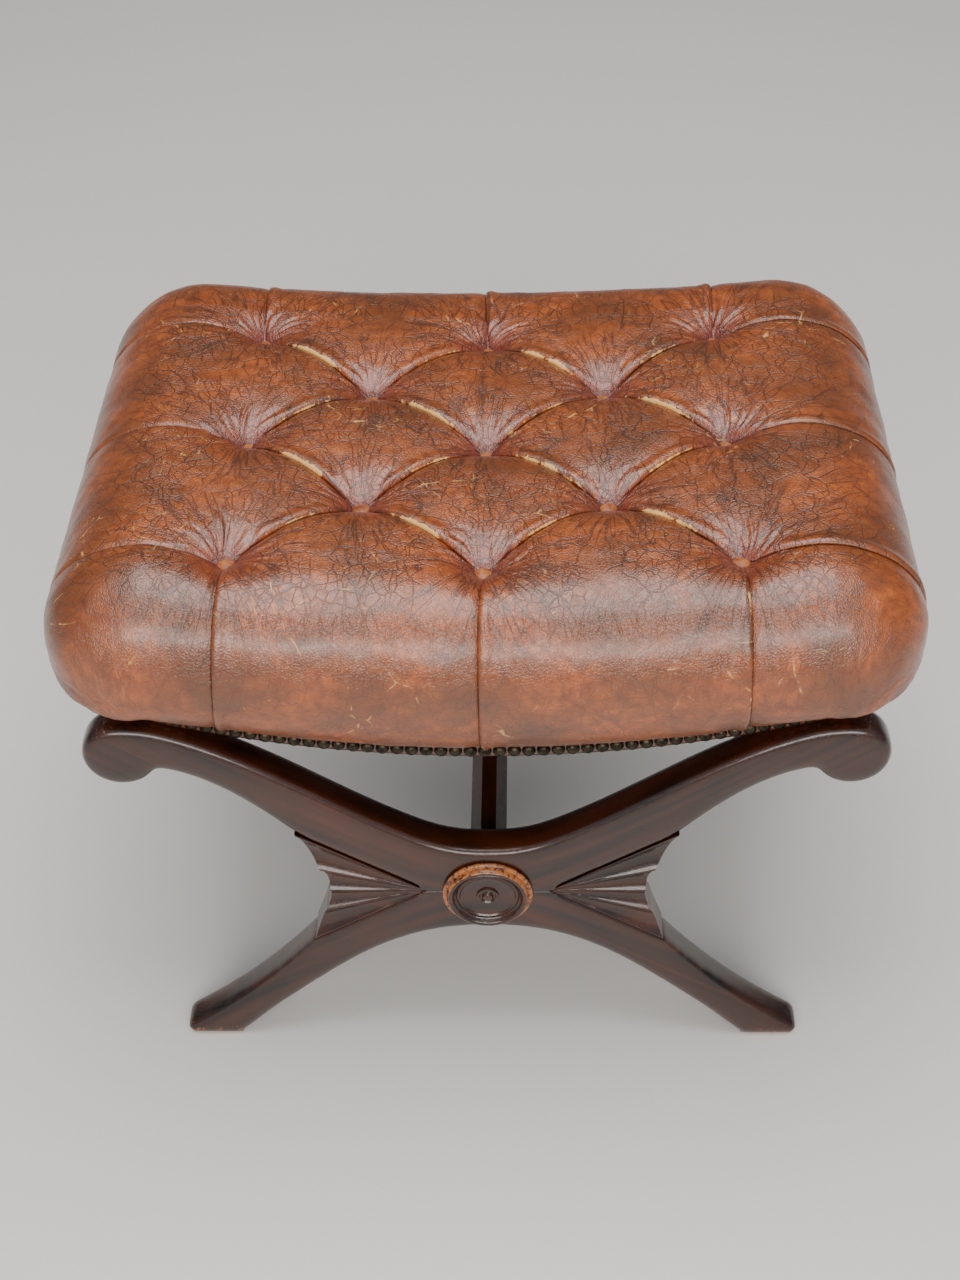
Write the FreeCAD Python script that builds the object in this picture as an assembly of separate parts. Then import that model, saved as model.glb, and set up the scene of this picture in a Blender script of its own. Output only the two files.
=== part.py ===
"""Buttoned leather footstool: an upholstered seat on two X-frames joined by one stretcher.

Millimetres, +Z up. The origin is on the ground under the middle of the stool. X runs along the
seat's length and -Y is the front. Each X-frame is an upper arch with scrolled arms standing on a
lower arch that ends in two feet, with a fluted fan filling the fork on each side.
"""
import os

import FreeCAD
import Part
from math import atan2, ceil, cos, hypot, pi, radians, sin, sqrt

# ---- overall seat ----
RAIL_HALF_LENGTH = 270.0      # seat frame, outer faces, along X
RAIL_HALF_WIDTH = 185.0       # seat frame, outer faces, along Y
RAIL_THICKNESS = 28.0
RAIL_TOP = 400.0
RAIL_BOTTOM = 300.0           # lowest point, in the middle of the front and back rails
RAIL_DISH_RADIUS = 800.0      # the rails' lower edge is one long arc
RAIL_CORNER_RADIUS = 12.0
SEAT_CROWN = 456.0            # leather, near the two ends
SEAT_MIDDLE = 441.0           # leather, at the bottom of the saddle
SADDLE_HALF_LENGTH = 232.0
LEATHER = 2.0
SKIRT_TOP = 358.0             # the leather lies flat on the rails up to here
# the stuffed edge, from the skirt up: height, distance beyond the rails, plan corner radius
ROLL = [(SKIRT_TOP, 0, 12), (365, 9, 20), (374, 17, 28), (385, 23, 34), (396, 27, 38), (407, 28, 40),
        (420, 27, 40), (432, 22, 40), (442, 13, 38), (449, 1, 34), (454, -13, 29), (SEAT_CROWN, -28, 24)]

# ---- buttons: five rows of 3, 2, 3, 2, 3 ----
BUTTON_PITCH_X = 173.0
BUTTON_PITCH_Y = 68.5
BUTTON_RADIUS = 6.5
BUTTON_RIM = 2.0
BUTTON_HEIGHT = 5.5
PIT_DEPTH = 21.0
PIT_TOP_RADIUS = 28.0
PIT_FLOOR_RADIUS = 8.0
TWINE_RADIUS = 0.8
WASHER_RADIUS = 12.0
WASHER_THICKNESS = 2.0

# ---- springing of the seat ----
WEBBING = 1.5
WEBBING_WIDTH = 50.0
HESSIAN = 0.8
HESSIAN_MARGIN = 6.0          # back from the rails' outer faces
TACK_HEAD_RADIUS = 3.0
TACK_HEAD = 0.8
TACK_SHANK_RADIUS = 0.7
TACK_LENGTH = 11.0
TACKS_PER_END = 4
DUST_COVER = 0.8
DUST_COVER_HALF_LENGTH = 262.0
DUST_COVER_HALF_WIDTH = 167.0
DUST_TACK_INSET = 5.0
DUST_TACK_PITCH = 42.0

# ---- stud nails ----
NAIL_PITCH = 10.2
NAIL_HEAD_RADIUS = 4.9
NAIL_HEAD_HEIGHT = 3.4
NAIL_ABOVE_EDGE = 5.2
NAIL_LENGTH = 12.0
NAIL_CORNER_GAP = 10.0

# ---- X-frames ----
FRAME_FRONT = 199.0           # front face of the front frame, distance from the middle
FRAME_THICKNESS = 29.0
CROSS_Z = 171.0               # joint between the arches, and the stretcher's height
CROSS_TOP = 213.0
CROSS_BOTTOM = 130.0
FORK_X = 46.0                 # where the fork between the arms starts
UPPER_FORK_LENGTH = 110.0
UPPER_FORK_ANGLE = 33.1
LOWER_FORK_LENGTH = 101.0
LOWER_FORK_ANGLE = -32.5
ARM_TOP = [(27, 216), (54, 228), (118, 270), (181, 311), (210, 325.5), (234, 333.6)]
ARM_UNDERSIDE = [(205, 288), (171, 264)]
SCROLL_CENTRE = (254.0, 308.0)
SCROLL_RADIUS = 27.0
SCROLL_END_ANGLE = 205.0
LEG_TOP = [(165, 76), (205, 37)]
TOE_TOP = (238.0, 11.0)
TOE_SIDE = (241.5, 5.0)
TOE_FRONT = (236.0, 0.0)
HEEL = (198.0, 0.0)
LEG_UNDERSIDE = [(30, 127.5), (74, 111), (131, 67), (167, 33)]
ARM_ROUNDING = 6.0
LEG_ROUNDING = 4.0
FAN_SETBACK = 1.5
FLUTES = 4
FLUTE_DEPTH_ANGLE = 3.4
FLUTE_RIDGE_ANGLE = 1.2
SCALLOP = 2.2
FAN_WAIST = 70.0

# ---- roundel, stretcher and the fixings of the frames ----
ROUNDEL_RADIUS = 33.0
ROUNDEL_HEIGHT = 8.0
STRETCHER_WIDTH = 27.0
TENON_RADIUS = 9.0
TENON_LENGTH = 20.0
STRETCHER_SCREW_LENGTH = 55.0
FRAME_DOWEL_RADIUS = 4.0
FRAME_DOWEL_LENGTH = 40.0
FRAME_DOWEL_X = 24.0
FAN_DOWEL_RADIUS = 3.0
FAN_DOWEL_LENGTH = 22.0
FAN_DOWEL_REACH = 68.0
SEAT_SCREW_X = 226.3
SEAT_SCREW_Y = 177.5
SEAT_SCREW_LENGTH = 58.0
SEAT_SCREW_SINK = 7.0
RAIL_DOWEL_RADIUS = 4.0
RAIL_DOWEL_LENGTH = 36.0
RAIL_DOWEL_HEIGHTS = (364.0, 386.0)
BLOCK_LEG = 48.0
BLOCK_END = 18.0
BLOCK_BOTTOM = 352.0
BLOCK_TOP = 394.0
BLOCK_SCREW_OFFSET = 40.0
BLOCK_SCREW_LENGTH = 40.0
BLOCK_SCREW_START = 22.0
SCREW_SHANK_RADIUS = 2.2
SCREW_HEAD_RADIUS = 4.4
SCREW_HEAD = 2.6

X_AXIS = FreeCAD.Vector(1, 0, 0)
Y_AXIS = FreeCAD.Vector(0, 1, 0)
Z_AXIS = FreeCAD.Vector(0, 0, 1)
ORIGIN = FreeCAD.Vector(0, 0, 0)
SIDES = (-1, 1)
WEB_BOTTOM = RAIL_TOP
HESSIAN_BOTTOM = RAIL_TOP + 2 * WEBBING
PAD_BOTTOM = HESSIAN_BOTTOM + HESSIAN
SADDLE_RADIUS = SADDLE_HALF_LENGTH ** 2 / 2 / (SEAT_CROWN - SEAT_MIDDLE)


def vec(x, y, z):
    return FreeCAD.Vector(x, y, z)


def cylinder(radius, length, start, direction):
    return Part.makeCylinder(radius, length, start, direction)


def box(low, high):
    return Part.makeBox(high[0] - low[0], high[1] - low[1], high[2] - low[2], vec(*low))


def group(solids):
    return Part.makeCompound(list(solids))


def screw(start, direction, length):
    """A countersunk wood screw: its head's face is at start."""
    tip = start + direction * SCREW_HEAD
    head = Part.makeCone(SCREW_HEAD_RADIUS, SCREW_SHANK_RADIUS, SCREW_HEAD, start, direction)
    shank = cylinder(SCREW_SHANK_RADIUS, length - SCREW_HEAD, tip, direction)
    return head.fuse(shank).removeSplitter()


def tack(start, direction):
    """A flat-headed upholstery tack: the top of its head is at start."""
    head = cylinder(TACK_HEAD_RADIUS, TACK_HEAD, start, direction)
    shank = cylinder(TACK_SHANK_RADIUS, TACK_LENGTH, start, direction)
    return head.fuse(shank).removeSplitter()


def mirrored_y(shape):
    return shape.mirror(ORIGIN, Y_AXIS)


# ---------------------------------------------------------------- X-frames

def on_profile(point):
    return vec(point[0], 0, point[1])


def curve(points):
    """A smooth edge through points of the frame's profile, which lies in the XZ plane."""
    spline = Part.BSplineCurve()
    spline.interpolate([on_profile(point) for point in points])
    return spline.toShape()


def symmetric_curve(half):
    """A smooth edge through half, which starts at x = 0, and its mirror image."""
    other_half = [(-x, z) for x, z in reversed(half[1:])]
    return curve(other_half + half)


def line(start, end):
    return Part.makeLine(on_profile(start), on_profile(end))


def polar(centre, radius, angle):
    return (centre[0] + radius * cos(radians(angle)), centre[1] + radius * sin(radians(angle)))


def arc(start, middle, end):
    return Part.Arc(on_profile(start), on_profile(middle), on_profile(end)).toShape()


FORK = (FORK_X, CROSS_Z)
UPPER_TIP = polar(FORK, UPPER_FORK_LENGTH, UPPER_FORK_ANGLE)
LOWER_TIP = polar(FORK, LOWER_FORK_LENGTH, LOWER_FORK_ANGLE)


def frame_solid(middle_edges, right_edges, rounding):
    """Extrude an outline between the frame's two faces and round it, but not its straight joints."""
    left_edges = [edge.mirror(ORIGIN, X_AXIS) for edge in right_edges]
    wire = Part.Wire(Part.__sortEdges__(middle_edges + right_edges + left_edges))
    solid = Part.Face(wire).extrude(vec(0, FRAME_THICKNESS, 0))
    solid.translate(vec(0, -FRAME_FRONT, 0))
    rounded = [edge for edge in solid.Edges if edge.Curve.TypeId != "Part::GeomLine"]
    return solid.makeFillet(rounding, rounded)


def rail_space():
    """Everything above the arc of the rails' lower edge."""
    centre_z = RAIL_BOTTOM + RAIL_DISH_RADIUS
    span = 2 * RAIL_HALF_WIDTH + 100
    return cylinder(RAIL_DISH_RADIUS, span, vec(0, -span / 2, centre_z), Y_AXIS)


def upper_arch():
    """The two scrolled arms in one piece. The scrolls' tops are cut to bed the seat rails."""
    scroll_top = polar(SCROLL_CENTRE, SCROLL_RADIUS, 90)
    scroll_side = polar(SCROLL_CENTRE, SCROLL_RADIUS, -30)
    scroll_end = polar(SCROLL_CENTRE, SCROLL_RADIUS, SCROLL_END_ANGLE)
    middle = [symmetric_curve([(0, CROSS_TOP)] + ARM_TOP + [scroll_top]), line((-FORK_X, CROSS_Z), FORK)]
    right = [
        arc(scroll_top, scroll_side, scroll_end),
        curve([scroll_end] + ARM_UNDERSIDE + [UPPER_TIP]),
        line(UPPER_TIP, FORK),
    ]
    return frame_solid(middle, right, ARM_ROUNDING).cut(rail_space())


def lower_arch():
    """The two legs in one piece, with flat soles."""
    middle = [symmetric_curve([(0, CROSS_BOTTOM)] + LEG_UNDERSIDE + [HEEL]), line((-FORK_X, CROSS_Z), FORK)]
    right = [
        line(FORK, LOWER_TIP),
        curve([LOWER_TIP] + LEG_TOP + [TOE_TOP]),
        arc(TOE_TOP, TOE_SIDE, TOE_FRONT),
        line(TOE_FRONT, HEEL),
    ]
    return frame_solid(middle, right, LEG_ROUNDING)


def fan_angle(step):
    """Angle of ridge number step, from 0 at the lower arm to FLUTES at the upper arm."""
    return LOWER_FORK_ANGLE + step * (UPPER_FORK_ANGLE - LOWER_FORK_ANGLE) / FLUTES


def fan_reach(angle):
    """Distance from the fork to the fan's hollow outer edge."""
    if angle > 0:
        return FAN_WAIST + (UPPER_FORK_LENGTH - FAN_WAIST) * (angle / UPPER_FORK_ANGLE) ** 2
    return FAN_WAIST + (LOWER_FORK_LENGTH - FAN_WAIST) * (angle / LOWER_FORK_ANGLE) ** 2


def flute(step):
    """A hollow cone from the fork outwards, leaning out of the front face so that it cuts shallow."""
    half_width = (UPPER_FORK_ANGLE - LOWER_FORK_ANGLE) / FLUTES / 2 - FLUTE_RIDGE_ANGLE / 2
    deep = radians(FLUTE_DEPTH_ANGLE)
    lean = atan2(cos(deep) - cos(radians(half_width)), sin(deep))
    spread = lean + deep
    middle = radians(fan_angle(step + 0.5))
    axis = vec(cos(middle) * cos(lean), -sin(lean), sin(middle) * cos(lean))
    length = UPPER_FORK_LENGTH + 20
    apex = vec(FORK_X, FAN_SETBACK - FRAME_FRONT, CROSS_Z)
    return Part.makeCone(0, length * sin(spread) / cos(spread), length, apex, axis)


def fan_right():
    """The carved gusset in the fork, with hollow flutes and a scalloped outer edge."""
    tips = [polar(FORK, fan_reach(fan_angle(step)), fan_angle(step)) for step in range(FLUTES + 1)]
    edges = [line(FORK, tips[0]), line(tips[-1], FORK)]
    for step in range(FLUTES):
        low = tips[step]
        high = tips[step + 1]
        middle_angle = fan_angle(step + 0.5)
        chord_middle = hypot((low[0] + high[0]) / 2 - FORK_X, (low[1] + high[1]) / 2 - CROSS_Z)
        edges.append(arc(low, polar(FORK, chord_middle - SCALLOP, middle_angle), high))
    face = Part.Face(Part.Wire(Part.__sortEdges__(edges)))
    solid = face.extrude(vec(0, FRAME_THICKNESS - 2 * FAN_SETBACK, 0))
    solid.translate(vec(0, FAN_SETBACK - FRAME_FRONT, 0))
    return solid.cut(group(flute(step) for step in range(FLUTES)))


def roundel():
    """A turned boss: a foot bead, a raised rim, a sunk ring with its own bead, and a small knob."""
    front = -FRAME_FRONT
    profile = [
        (0, 0), (ROUNDEL_RADIUS - 1, 0), (ROUNDEL_RADIUS, 1.2), (ROUNDEL_RADIUS, 2.6),
        (ROUNDEL_RADIUS - 1.2, 3.6), (ROUNDEL_RADIUS - 2.6, 3.8), (ROUNDEL_RADIUS - 3.0, 5.6),
        (ROUNDEL_RADIUS - 4.2, 7.6), (ROUNDEL_RADIUS - 5.6, ROUNDEL_HEIGHT),
        (ROUNDEL_RADIUS - 7.0, 7.2), (ROUNDEL_RADIUS - 8.6, 4.2), (ROUNDEL_RADIUS - 9.6, 3.8),
        (ROUNDEL_RADIUS - 10.6, 5.0), (ROUNDEL_RADIUS - 12.2, 5.2), (ROUNDEL_RADIUS - 13.6, 3.8),
        (14.0, 3.0), (8.4, 3.0), (7.8, 4.4), (6.6, 4.6), (5.4, 3.4), (4.4, 3.6), (3.2, 5.8), (0, 6.6),
    ]
    points = [vec(radius, front - height, 0) for radius, height in profile]
    face = Part.Face(Part.makePolygon(points + points[:1]))
    solid = face.revolve(ORIGIN, Y_AXIS, 360)
    solid.translate(vec(0, 0, CROSS_Z))
    return solid


def stretcher():
    """An eight-sided bar with a round tenon at each end."""
    bar_end = FRAME_FRONT - FRAME_THICKNESS
    circumradius = STRETCHER_WIDTH / 2 / cos(pi / 8)
    corners = [pi / 8 + step * pi / 4 for step in range(9)]
    points = [vec(circumradius * cos(turn), -bar_end, CROSS_Z + circumradius * sin(turn)) for turn in corners]
    bar = Part.Face(Part.makePolygon(points)).extrude(vec(0, 2 * bar_end, 0))
    reach = bar_end + TENON_LENGTH
    return bar.fuse(cylinder(TENON_RADIUS, 2 * reach, vec(0, -reach, CROSS_Z), Y_AXIS)).removeSplitter()


def stretcher_screw():
    return screw(vec(0, -FRAME_FRONT, CROSS_Z), Y_AXIS, STRETCHER_SCREW_LENGTH)


def frame_dowels():
    """Dowels of one frame: two upright ones between the arches and two in each fan."""
    y = FRAME_THICKNESS / 2 - FRAME_FRONT
    low = CROSS_Z - FRAME_DOWEL_LENGTH / 2
    dowels = [cylinder(FRAME_DOWEL_RADIUS, FRAME_DOWEL_LENGTH, vec(side * FRAME_DOWEL_X, y, low), Z_AXIS)
              for side in SIDES]
    for angle in (UPPER_FORK_ANGLE, LOWER_FORK_ANGLE):
        x, z = polar(FORK, FAN_DOWEL_REACH, angle)
        across = vec(-sin(radians(angle)), 0, cos(radians(angle)))
        for side in SIDES:
            direction = vec(side * across.x, 0, across.z)
            start = vec(side * x, y, z) - direction * (FAN_DOWEL_LENGTH / 2)
            dowels.append(cylinder(FAN_DOWEL_RADIUS, FAN_DOWEL_LENGTH, start, direction))
    return dowels


def seat_screws():
    """Screws up through the scrolled arms into the front and back rails, heads sunk in the arms."""
    start_z = arm_underside() + SEAT_SCREW_SINK
    return [screw(vec(side * SEAT_SCREW_X, end * SEAT_SCREW_Y, start_z), Z_AXIS, SEAT_SCREW_LENGTH)
            for side in SIDES for end in SIDES]


def seat_screw_wells():
    """The counterbores that the heads of the seat screws are sunk through."""
    low = arm_underside() - 10
    length = SEAT_SCREW_SINK + 10
    return [cylinder(SCREW_HEAD_RADIUS + 0.6, length, vec(side * SEAT_SCREW_X, end * SEAT_SCREW_Y, low), Z_AXIS)
            for side in SIDES for end in SIDES]


def arm_underside():
    return polar(SCROLL_CENTRE, SCROLL_RADIUS, SCROLL_END_ANGLE)[1]


# ---------------------------------------------------------------- seat frame

def rounded_rectangle(half_length, half_width, radius, z):
    """A closed wire in a level plane."""
    corners = []
    for x_side, y_side, start in ((1, 1, 0), (-1, 1, 90), (-1, -1, 180), (1, -1, 270)):
        centre = (x_side * (half_length - radius), y_side * (half_width - radius))
        corners.append([polar(centre, radius, start + turn) for turn in (0, 45, 90)])
    edges = []
    for index, (first, middle, last) in enumerate(corners):
        following = corners[(index + 1) % 4][0]
        edges.append(Part.Arc(vec(*first, z), vec(*middle, z), vec(*last, z)).toShape())
        edges.append(Part.makeLine(vec(*last, z), vec(*following, z)))
    return Part.Wire(edges)


def seat_prism(outset, low, high):
    """An upright prism whose plan is the seat frame's outline moved out by outset."""
    wire = rounded_rectangle(RAIL_HALF_LENGTH + outset, RAIL_HALF_WIDTH + outset,
                             RAIL_CORNER_RADIUS + outset, low)
    return Part.Face(wire).extrude(vec(0, 0, high - low))


def dished(solid):
    """Keep what lies above the arc of the rails' lower edge."""
    return solid.common(rail_space())


def rails():
    """Front and back rails run the full length. The side rails are dowelled between them."""
    blank = dished(seat_prism(0, RAIL_BOTTOM - 1, RAIL_TOP))
    inner_x = RAIL_HALF_LENGTH - RAIL_THICKNESS
    inner_y = RAIL_HALF_WIDTH - RAIL_THICKNESS
    low = RAIL_BOTTOM - 1
    front = blank.common(box((-RAIL_HALF_LENGTH, -RAIL_HALF_WIDTH, low), (RAIL_HALF_LENGTH, -inner_y, RAIL_TOP)))
    right = blank.common(box((inner_x, -inner_y, low), (RAIL_HALF_LENGTH, inner_y, RAIL_TOP)))
    return {
        "seat_rail_front": front,
        "seat_rail_back": mirrored_y(front),
        "seat_rail_right": right,
        "seat_rail_left": right.mirror(ORIGIN, X_AXIS),
    }


def rail_dowels():
    x = RAIL_HALF_LENGTH - RAIL_THICKNESS / 2
    middle_y = RAIL_HALF_WIDTH - RAIL_THICKNESS
    start = middle_y - RAIL_DOWEL_LENGTH / 2
    dowels = [cylinder(RAIL_DOWEL_RADIUS, RAIL_DOWEL_LENGTH, vec(side * x, start, z), Y_AXIS)
              for side in SIDES for z in RAIL_DOWEL_HEIGHTS]
    return dowels + [mirrored_y(dowel) for dowel in dowels]


def in_each_corner(solids):
    """Copy solids from the corner at -X, -Y to all four inner corners of the seat frame."""
    placed = []
    for solid in solids:
        pair = [solid, solid.mirror(ORIGIN, X_AXIS)]
        placed += pair + [mirrored_y(copy) for copy in pair]
    return placed


def corner_blocks_and_screws():
    corner_x = RAIL_THICKNESS - RAIL_HALF_LENGTH
    corner_y = RAIL_THICKNESS - RAIL_HALF_WIDTH
    plan = [(0, 0), (BLOCK_LEG, 0), (BLOCK_LEG, BLOCK_END), (BLOCK_END, BLOCK_LEG), (0, BLOCK_LEG), (0, 0)]
    wire = Part.makePolygon([vec(corner_x + x, corner_y + y, BLOCK_BOTTOM) for x, y in plan])
    block = Part.Face(wire).extrude(vec(0, 0, BLOCK_TOP - BLOCK_BOTTOM))
    screw_height = (BLOCK_BOTTOM + BLOCK_TOP) / 2
    into_front = vec(corner_x + BLOCK_SCREW_OFFSET, corner_y + BLOCK_SCREW_START, screw_height)
    into_side = vec(corner_x + BLOCK_SCREW_START, corner_y + BLOCK_SCREW_OFFSET, screw_height)
    screws = [screw(into_front, -Y_AXIS, BLOCK_SCREW_LENGTH), screw(into_side, -X_AXIS, BLOCK_SCREW_LENGTH)]
    wells = [cylinder(SCREW_HEAD_RADIUS + 0.4, BLOCK_LEG, into_front, Y_AXIS),
             cylinder(SCREW_HEAD_RADIUS + 0.4, BLOCK_LEG, into_side, X_AXIS)]
    block = block.cut(group(wells + screws))
    return in_each_corner([block]), in_each_corner(screws)


# ---------------------------------------------------------------- upholstery

def saddle_height(x):
    """Height of the top of the leather at x."""
    return SEAT_MIDDLE + SADDLE_RADIUS - sqrt(SADDLE_RADIUS ** 2 - x ** 2)


def button_places():
    """X, Y of the thirteen buttons: rows of three, with rows of two between them."""
    places = []
    for row in range(-2, 3):
        columns = (-1, 0, 1) if row % 2 == 0 else (-0.5, 0.5)
        places += [(column * BUTTON_PITCH_X, row * BUTTON_PITCH_Y) for column in columns]
    return places


def pit(x, y, shrink):
    """The funnel under a button, made wider and deeper by shrink."""
    floor = saddle_height(x) - PIT_DEPTH - shrink
    slope = (PIT_TOP_RADIUS - PIT_FLOOR_RADIUS) / PIT_DEPTH
    height = PIT_DEPTH + 10
    bottom_radius = PIT_FLOOR_RADIUS + shrink
    return Part.makeCone(bottom_radius, bottom_radius + slope * height, height, vec(x, y, floor), Z_AXIS)


def cushion(shrink):
    """The stuffed seat above the skirt, with its rolled edges, saddle and button pits."""
    wires = []
    for z, outset, corner_radius in ROLL:
        grow = LEATHER - shrink
        drop = shrink * (z - SKIRT_TOP) / (SEAT_CROWN - SKIRT_TOP)
        wires.append(rounded_rectangle(RAIL_HALF_LENGTH + outset + grow, RAIL_HALF_WIDTH + outset + grow,
                                       corner_radius + grow, z - drop))
    body = Part.makeLoft(wires, True, True)
    above_saddle = cylinder(SADDLE_RADIUS, 600, vec(0, -300, SEAT_MIDDLE + SADDLE_RADIUS - shrink), Y_AXIS)
    return body.cut(above_saddle).cut(group(pit(x, y, shrink) for x, y in button_places()))


def twine(x, y):
    """Twine from a button's shank down to the washer under the webbing."""
    return cylinder(TWINE_RADIUS, saddle_height(x) - PIT_DEPTH - RAIL_TOP, vec(x, y, RAIL_TOP), Z_AXIS)


def button(x, y):
    """A leather-covered button: a short rim under a domed top."""
    floor = saddle_height(x) - PIT_DEPTH
    dome = BUTTON_HEIGHT - BUTTON_RIM
    sphere_radius = (BUTTON_RADIUS ** 2 + dome ** 2) / 2 / dome
    centre = vec(x, y, floor + BUTTON_HEIGHT - sphere_radius)
    ball = Part.makeSphere(sphere_radius, centre)
    return cylinder(BUTTON_RADIUS, BUTTON_HEIGHT, vec(x, y, floor), Z_AXIS).common(ball)


def leather_cover(nails):
    """One skin: a flat skirt nailed to the rails and the rolled, buttoned top."""
    skirt = seat_prism(LEATHER, RAIL_BOTTOM - 1, SKIRT_TOP).cut(seat_prism(0, RAIL_BOTTOM - 2, SKIRT_TOP + 1))
    top = cushion(0).cut(cushion(LEATHER)).cut([twine(x, y) for x, y in button_places()])
    return dished(skirt).cut(nails).fuse(top).removeSplitter()


def foam_pad():
    """The stuffing: it sits on the hessian and hangs over the rails' outer faces."""
    over_rails = seat_prism(0, SKIRT_TOP - 2, PAD_BOTTOM)
    return cushion(LEATHER).cut(over_rails).cut(group(twine(x, y) for x, y in button_places()))


def hessian():
    half_length = RAIL_HALF_LENGTH - HESSIAN_MARGIN
    half_width = RAIL_HALF_WIDTH - HESSIAN_MARGIN
    sheet = box((-half_length, -half_width, HESSIAN_BOTTOM), (half_length, half_width, PAD_BOTTOM))
    return sheet.cut(group(twine(x, y) for x, y in button_places()))


def webbing():
    """Straps over the seat frame, one under each row and column of buttons, ends folded and tacked."""
    fold = RAIL_THICKNESS - HESSIAN_MARGIN
    half_length = RAIL_HALF_LENGTH - HESSIAN_MARGIN
    half_width = RAIL_HALF_WIDTH - HESSIAN_MARGIN
    half_strap = WEBBING_WIDTH / 2
    middle = WEB_BOTTOM + WEBBING
    lengthwise = []
    crosswise = []
    for row in range(-2, 3):
        y = row * BUTTON_PITCH_Y
        strap = box((-half_length, y - half_strap, WEB_BOTTOM), (half_length, y + half_strap, middle))
        for side in SIDES:
            ends = sorted((side * half_length, side * (half_length - fold)))
            strap = strap.fuse(box((ends[0], y - half_strap, middle), (ends[1], y + half_strap, HESSIAN_BOTTOM)))
        lengthwise.append(strap.removeSplitter())
    for column in range(-2, 3):
        x = column * BUTTON_PITCH_X / 2
        strap = box((x - half_strap, -half_width, middle), (x + half_strap, half_width, HESSIAN_BOTTOM))
        for side in SIDES:
            ends = sorted((side * half_width, side * (half_width - fold)))
            strap = strap.fuse(box((x - half_strap, ends[0], WEB_BOTTOM), (x + half_strap, ends[1], middle)))
        crosswise.append(strap.removeSplitter())
    return lengthwise, crosswise


def webbing_tacks():
    """A row of tacks through each folded strap end, heads flush with the strap."""
    spread = [(place + 0.5) / TACKS_PER_END - 0.5 for place in range(TACKS_PER_END)]
    x_line = RAIL_HALF_LENGTH - RAIL_THICKNESS / 2
    y_line = RAIL_HALF_WIDTH - RAIL_THICKNESS / 2
    tacks = []
    for step in range(-2, 3):
        for side in SIDES:
            for share in spread:
                along = share * WEBBING_WIDTH
                tacks.append(tack(vec(side * x_line, step * BUTTON_PITCH_Y + along, HESSIAN_BOTTOM), -Z_AXIS))
                tacks.append(tack(vec(step * BUTTON_PITCH_X / 2 + along, side * y_line, HESSIAN_BOTTOM), -Z_AXIS))
    return tacks


def button_washers():
    return [cylinder(WASHER_RADIUS, WASHER_THICKNESS, vec(x, y, RAIL_TOP - WASHER_THICKNESS), Z_AXIS)
            for x, y in button_places()]


def dust_cover():
    """Black cloth under the rails, following their arc."""
    centre = vec(0, -DUST_COVER_HALF_WIDTH, RAIL_BOTTOM + RAIL_DISH_RADIUS)
    width = 2 * DUST_COVER_HALF_WIDTH
    outer = cylinder(RAIL_DISH_RADIUS + DUST_COVER, width, centre, Y_AXIS)
    inner = cylinder(RAIL_DISH_RADIUS, width, centre, Y_AXIS)
    keep = box((-DUST_COVER_HALF_LENGTH, -DUST_COVER_HALF_WIDTH, RAIL_BOTTOM - 5),
               (DUST_COVER_HALF_LENGTH, DUST_COVER_HALF_WIDTH, RAIL_TOP))
    return outer.cut(inner).common(keep)


def dish_point(x, y, below):
    """A point below the rails' arc, and the direction straight in towards the rail there."""
    turn = x / RAIL_DISH_RADIUS
    reach = RAIL_DISH_RADIUS + below
    place = vec(reach * sin(turn), y, RAIL_BOTTOM + RAIL_DISH_RADIUS - reach * cos(turn))
    return place, vec(-sin(turn), 0, cos(turn))


def dust_cover_tacks():
    """Tacks round the edge of the dust cover, heads under the cloth."""
    half_length = DUST_COVER_HALF_LENGTH - DUST_TACK_INSET
    half_width = DUST_COVER_HALF_WIDTH - DUST_TACK_INSET
    tacks = []
    rows = ((half_length, half_width, False), (half_width - DUST_TACK_PITCH / 2, half_length, True))
    for half, other, swap in rows:
        count = ceil(2 * half / DUST_TACK_PITCH)
        for step in range(count + 1):
            along = -half + step * 2 * half / count
            for side in SIDES:
                x, y = (side * other, along) if swap else (along, side * other)
                start, inwards = dish_point(x, y, DUST_COVER + TACK_HEAD)
                tacks.append(tack(start, inwards))
    return tacks


# ---------------------------------------------------------------- stud nails

def nail(base, outwards):
    """A domed stud: base is on the leather, under the middle of its head."""
    sphere_radius = (NAIL_HEAD_RADIUS ** 2 + NAIL_HEAD_HEIGHT ** 2) / 2 / NAIL_HEAD_HEIGHT
    ball = Part.makeSphere(sphere_radius, base + outwards * (NAIL_HEAD_HEIGHT - sphere_radius))
    head = cylinder(NAIL_HEAD_RADIUS, NAIL_HEAD_HEIGHT, base, outwards).common(ball)
    shank = cylinder(TACK_SHANK_RADIUS, NAIL_LENGTH + 1, base - outwards * NAIL_LENGTH, outwards)
    return head.fuse(shank).removeSplitter()


def front_nails():
    """Close-nailed along the arc of the front rail."""
    radius = RAIL_DISH_RADIUS - NAIL_ABOVE_EDGE
    half_turn = (RAIL_HALF_LENGTH - NAIL_CORNER_GAP) / RAIL_DISH_RADIUS
    count = int(2 * half_turn * radius / NAIL_PITCH)
    pattern = nail(ORIGIN, -Y_AXIS)
    nails = []
    for step in range(count + 1):
        turn = (step - count / 2) * NAIL_PITCH / radius
        copy = pattern.copy()
        copy.translate(vec(radius * sin(turn), -RAIL_HALF_WIDTH - LEATHER,
                           RAIL_BOTTOM + RAIL_DISH_RADIUS - radius * cos(turn)))
        nails.append(copy)
    return nails


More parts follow.
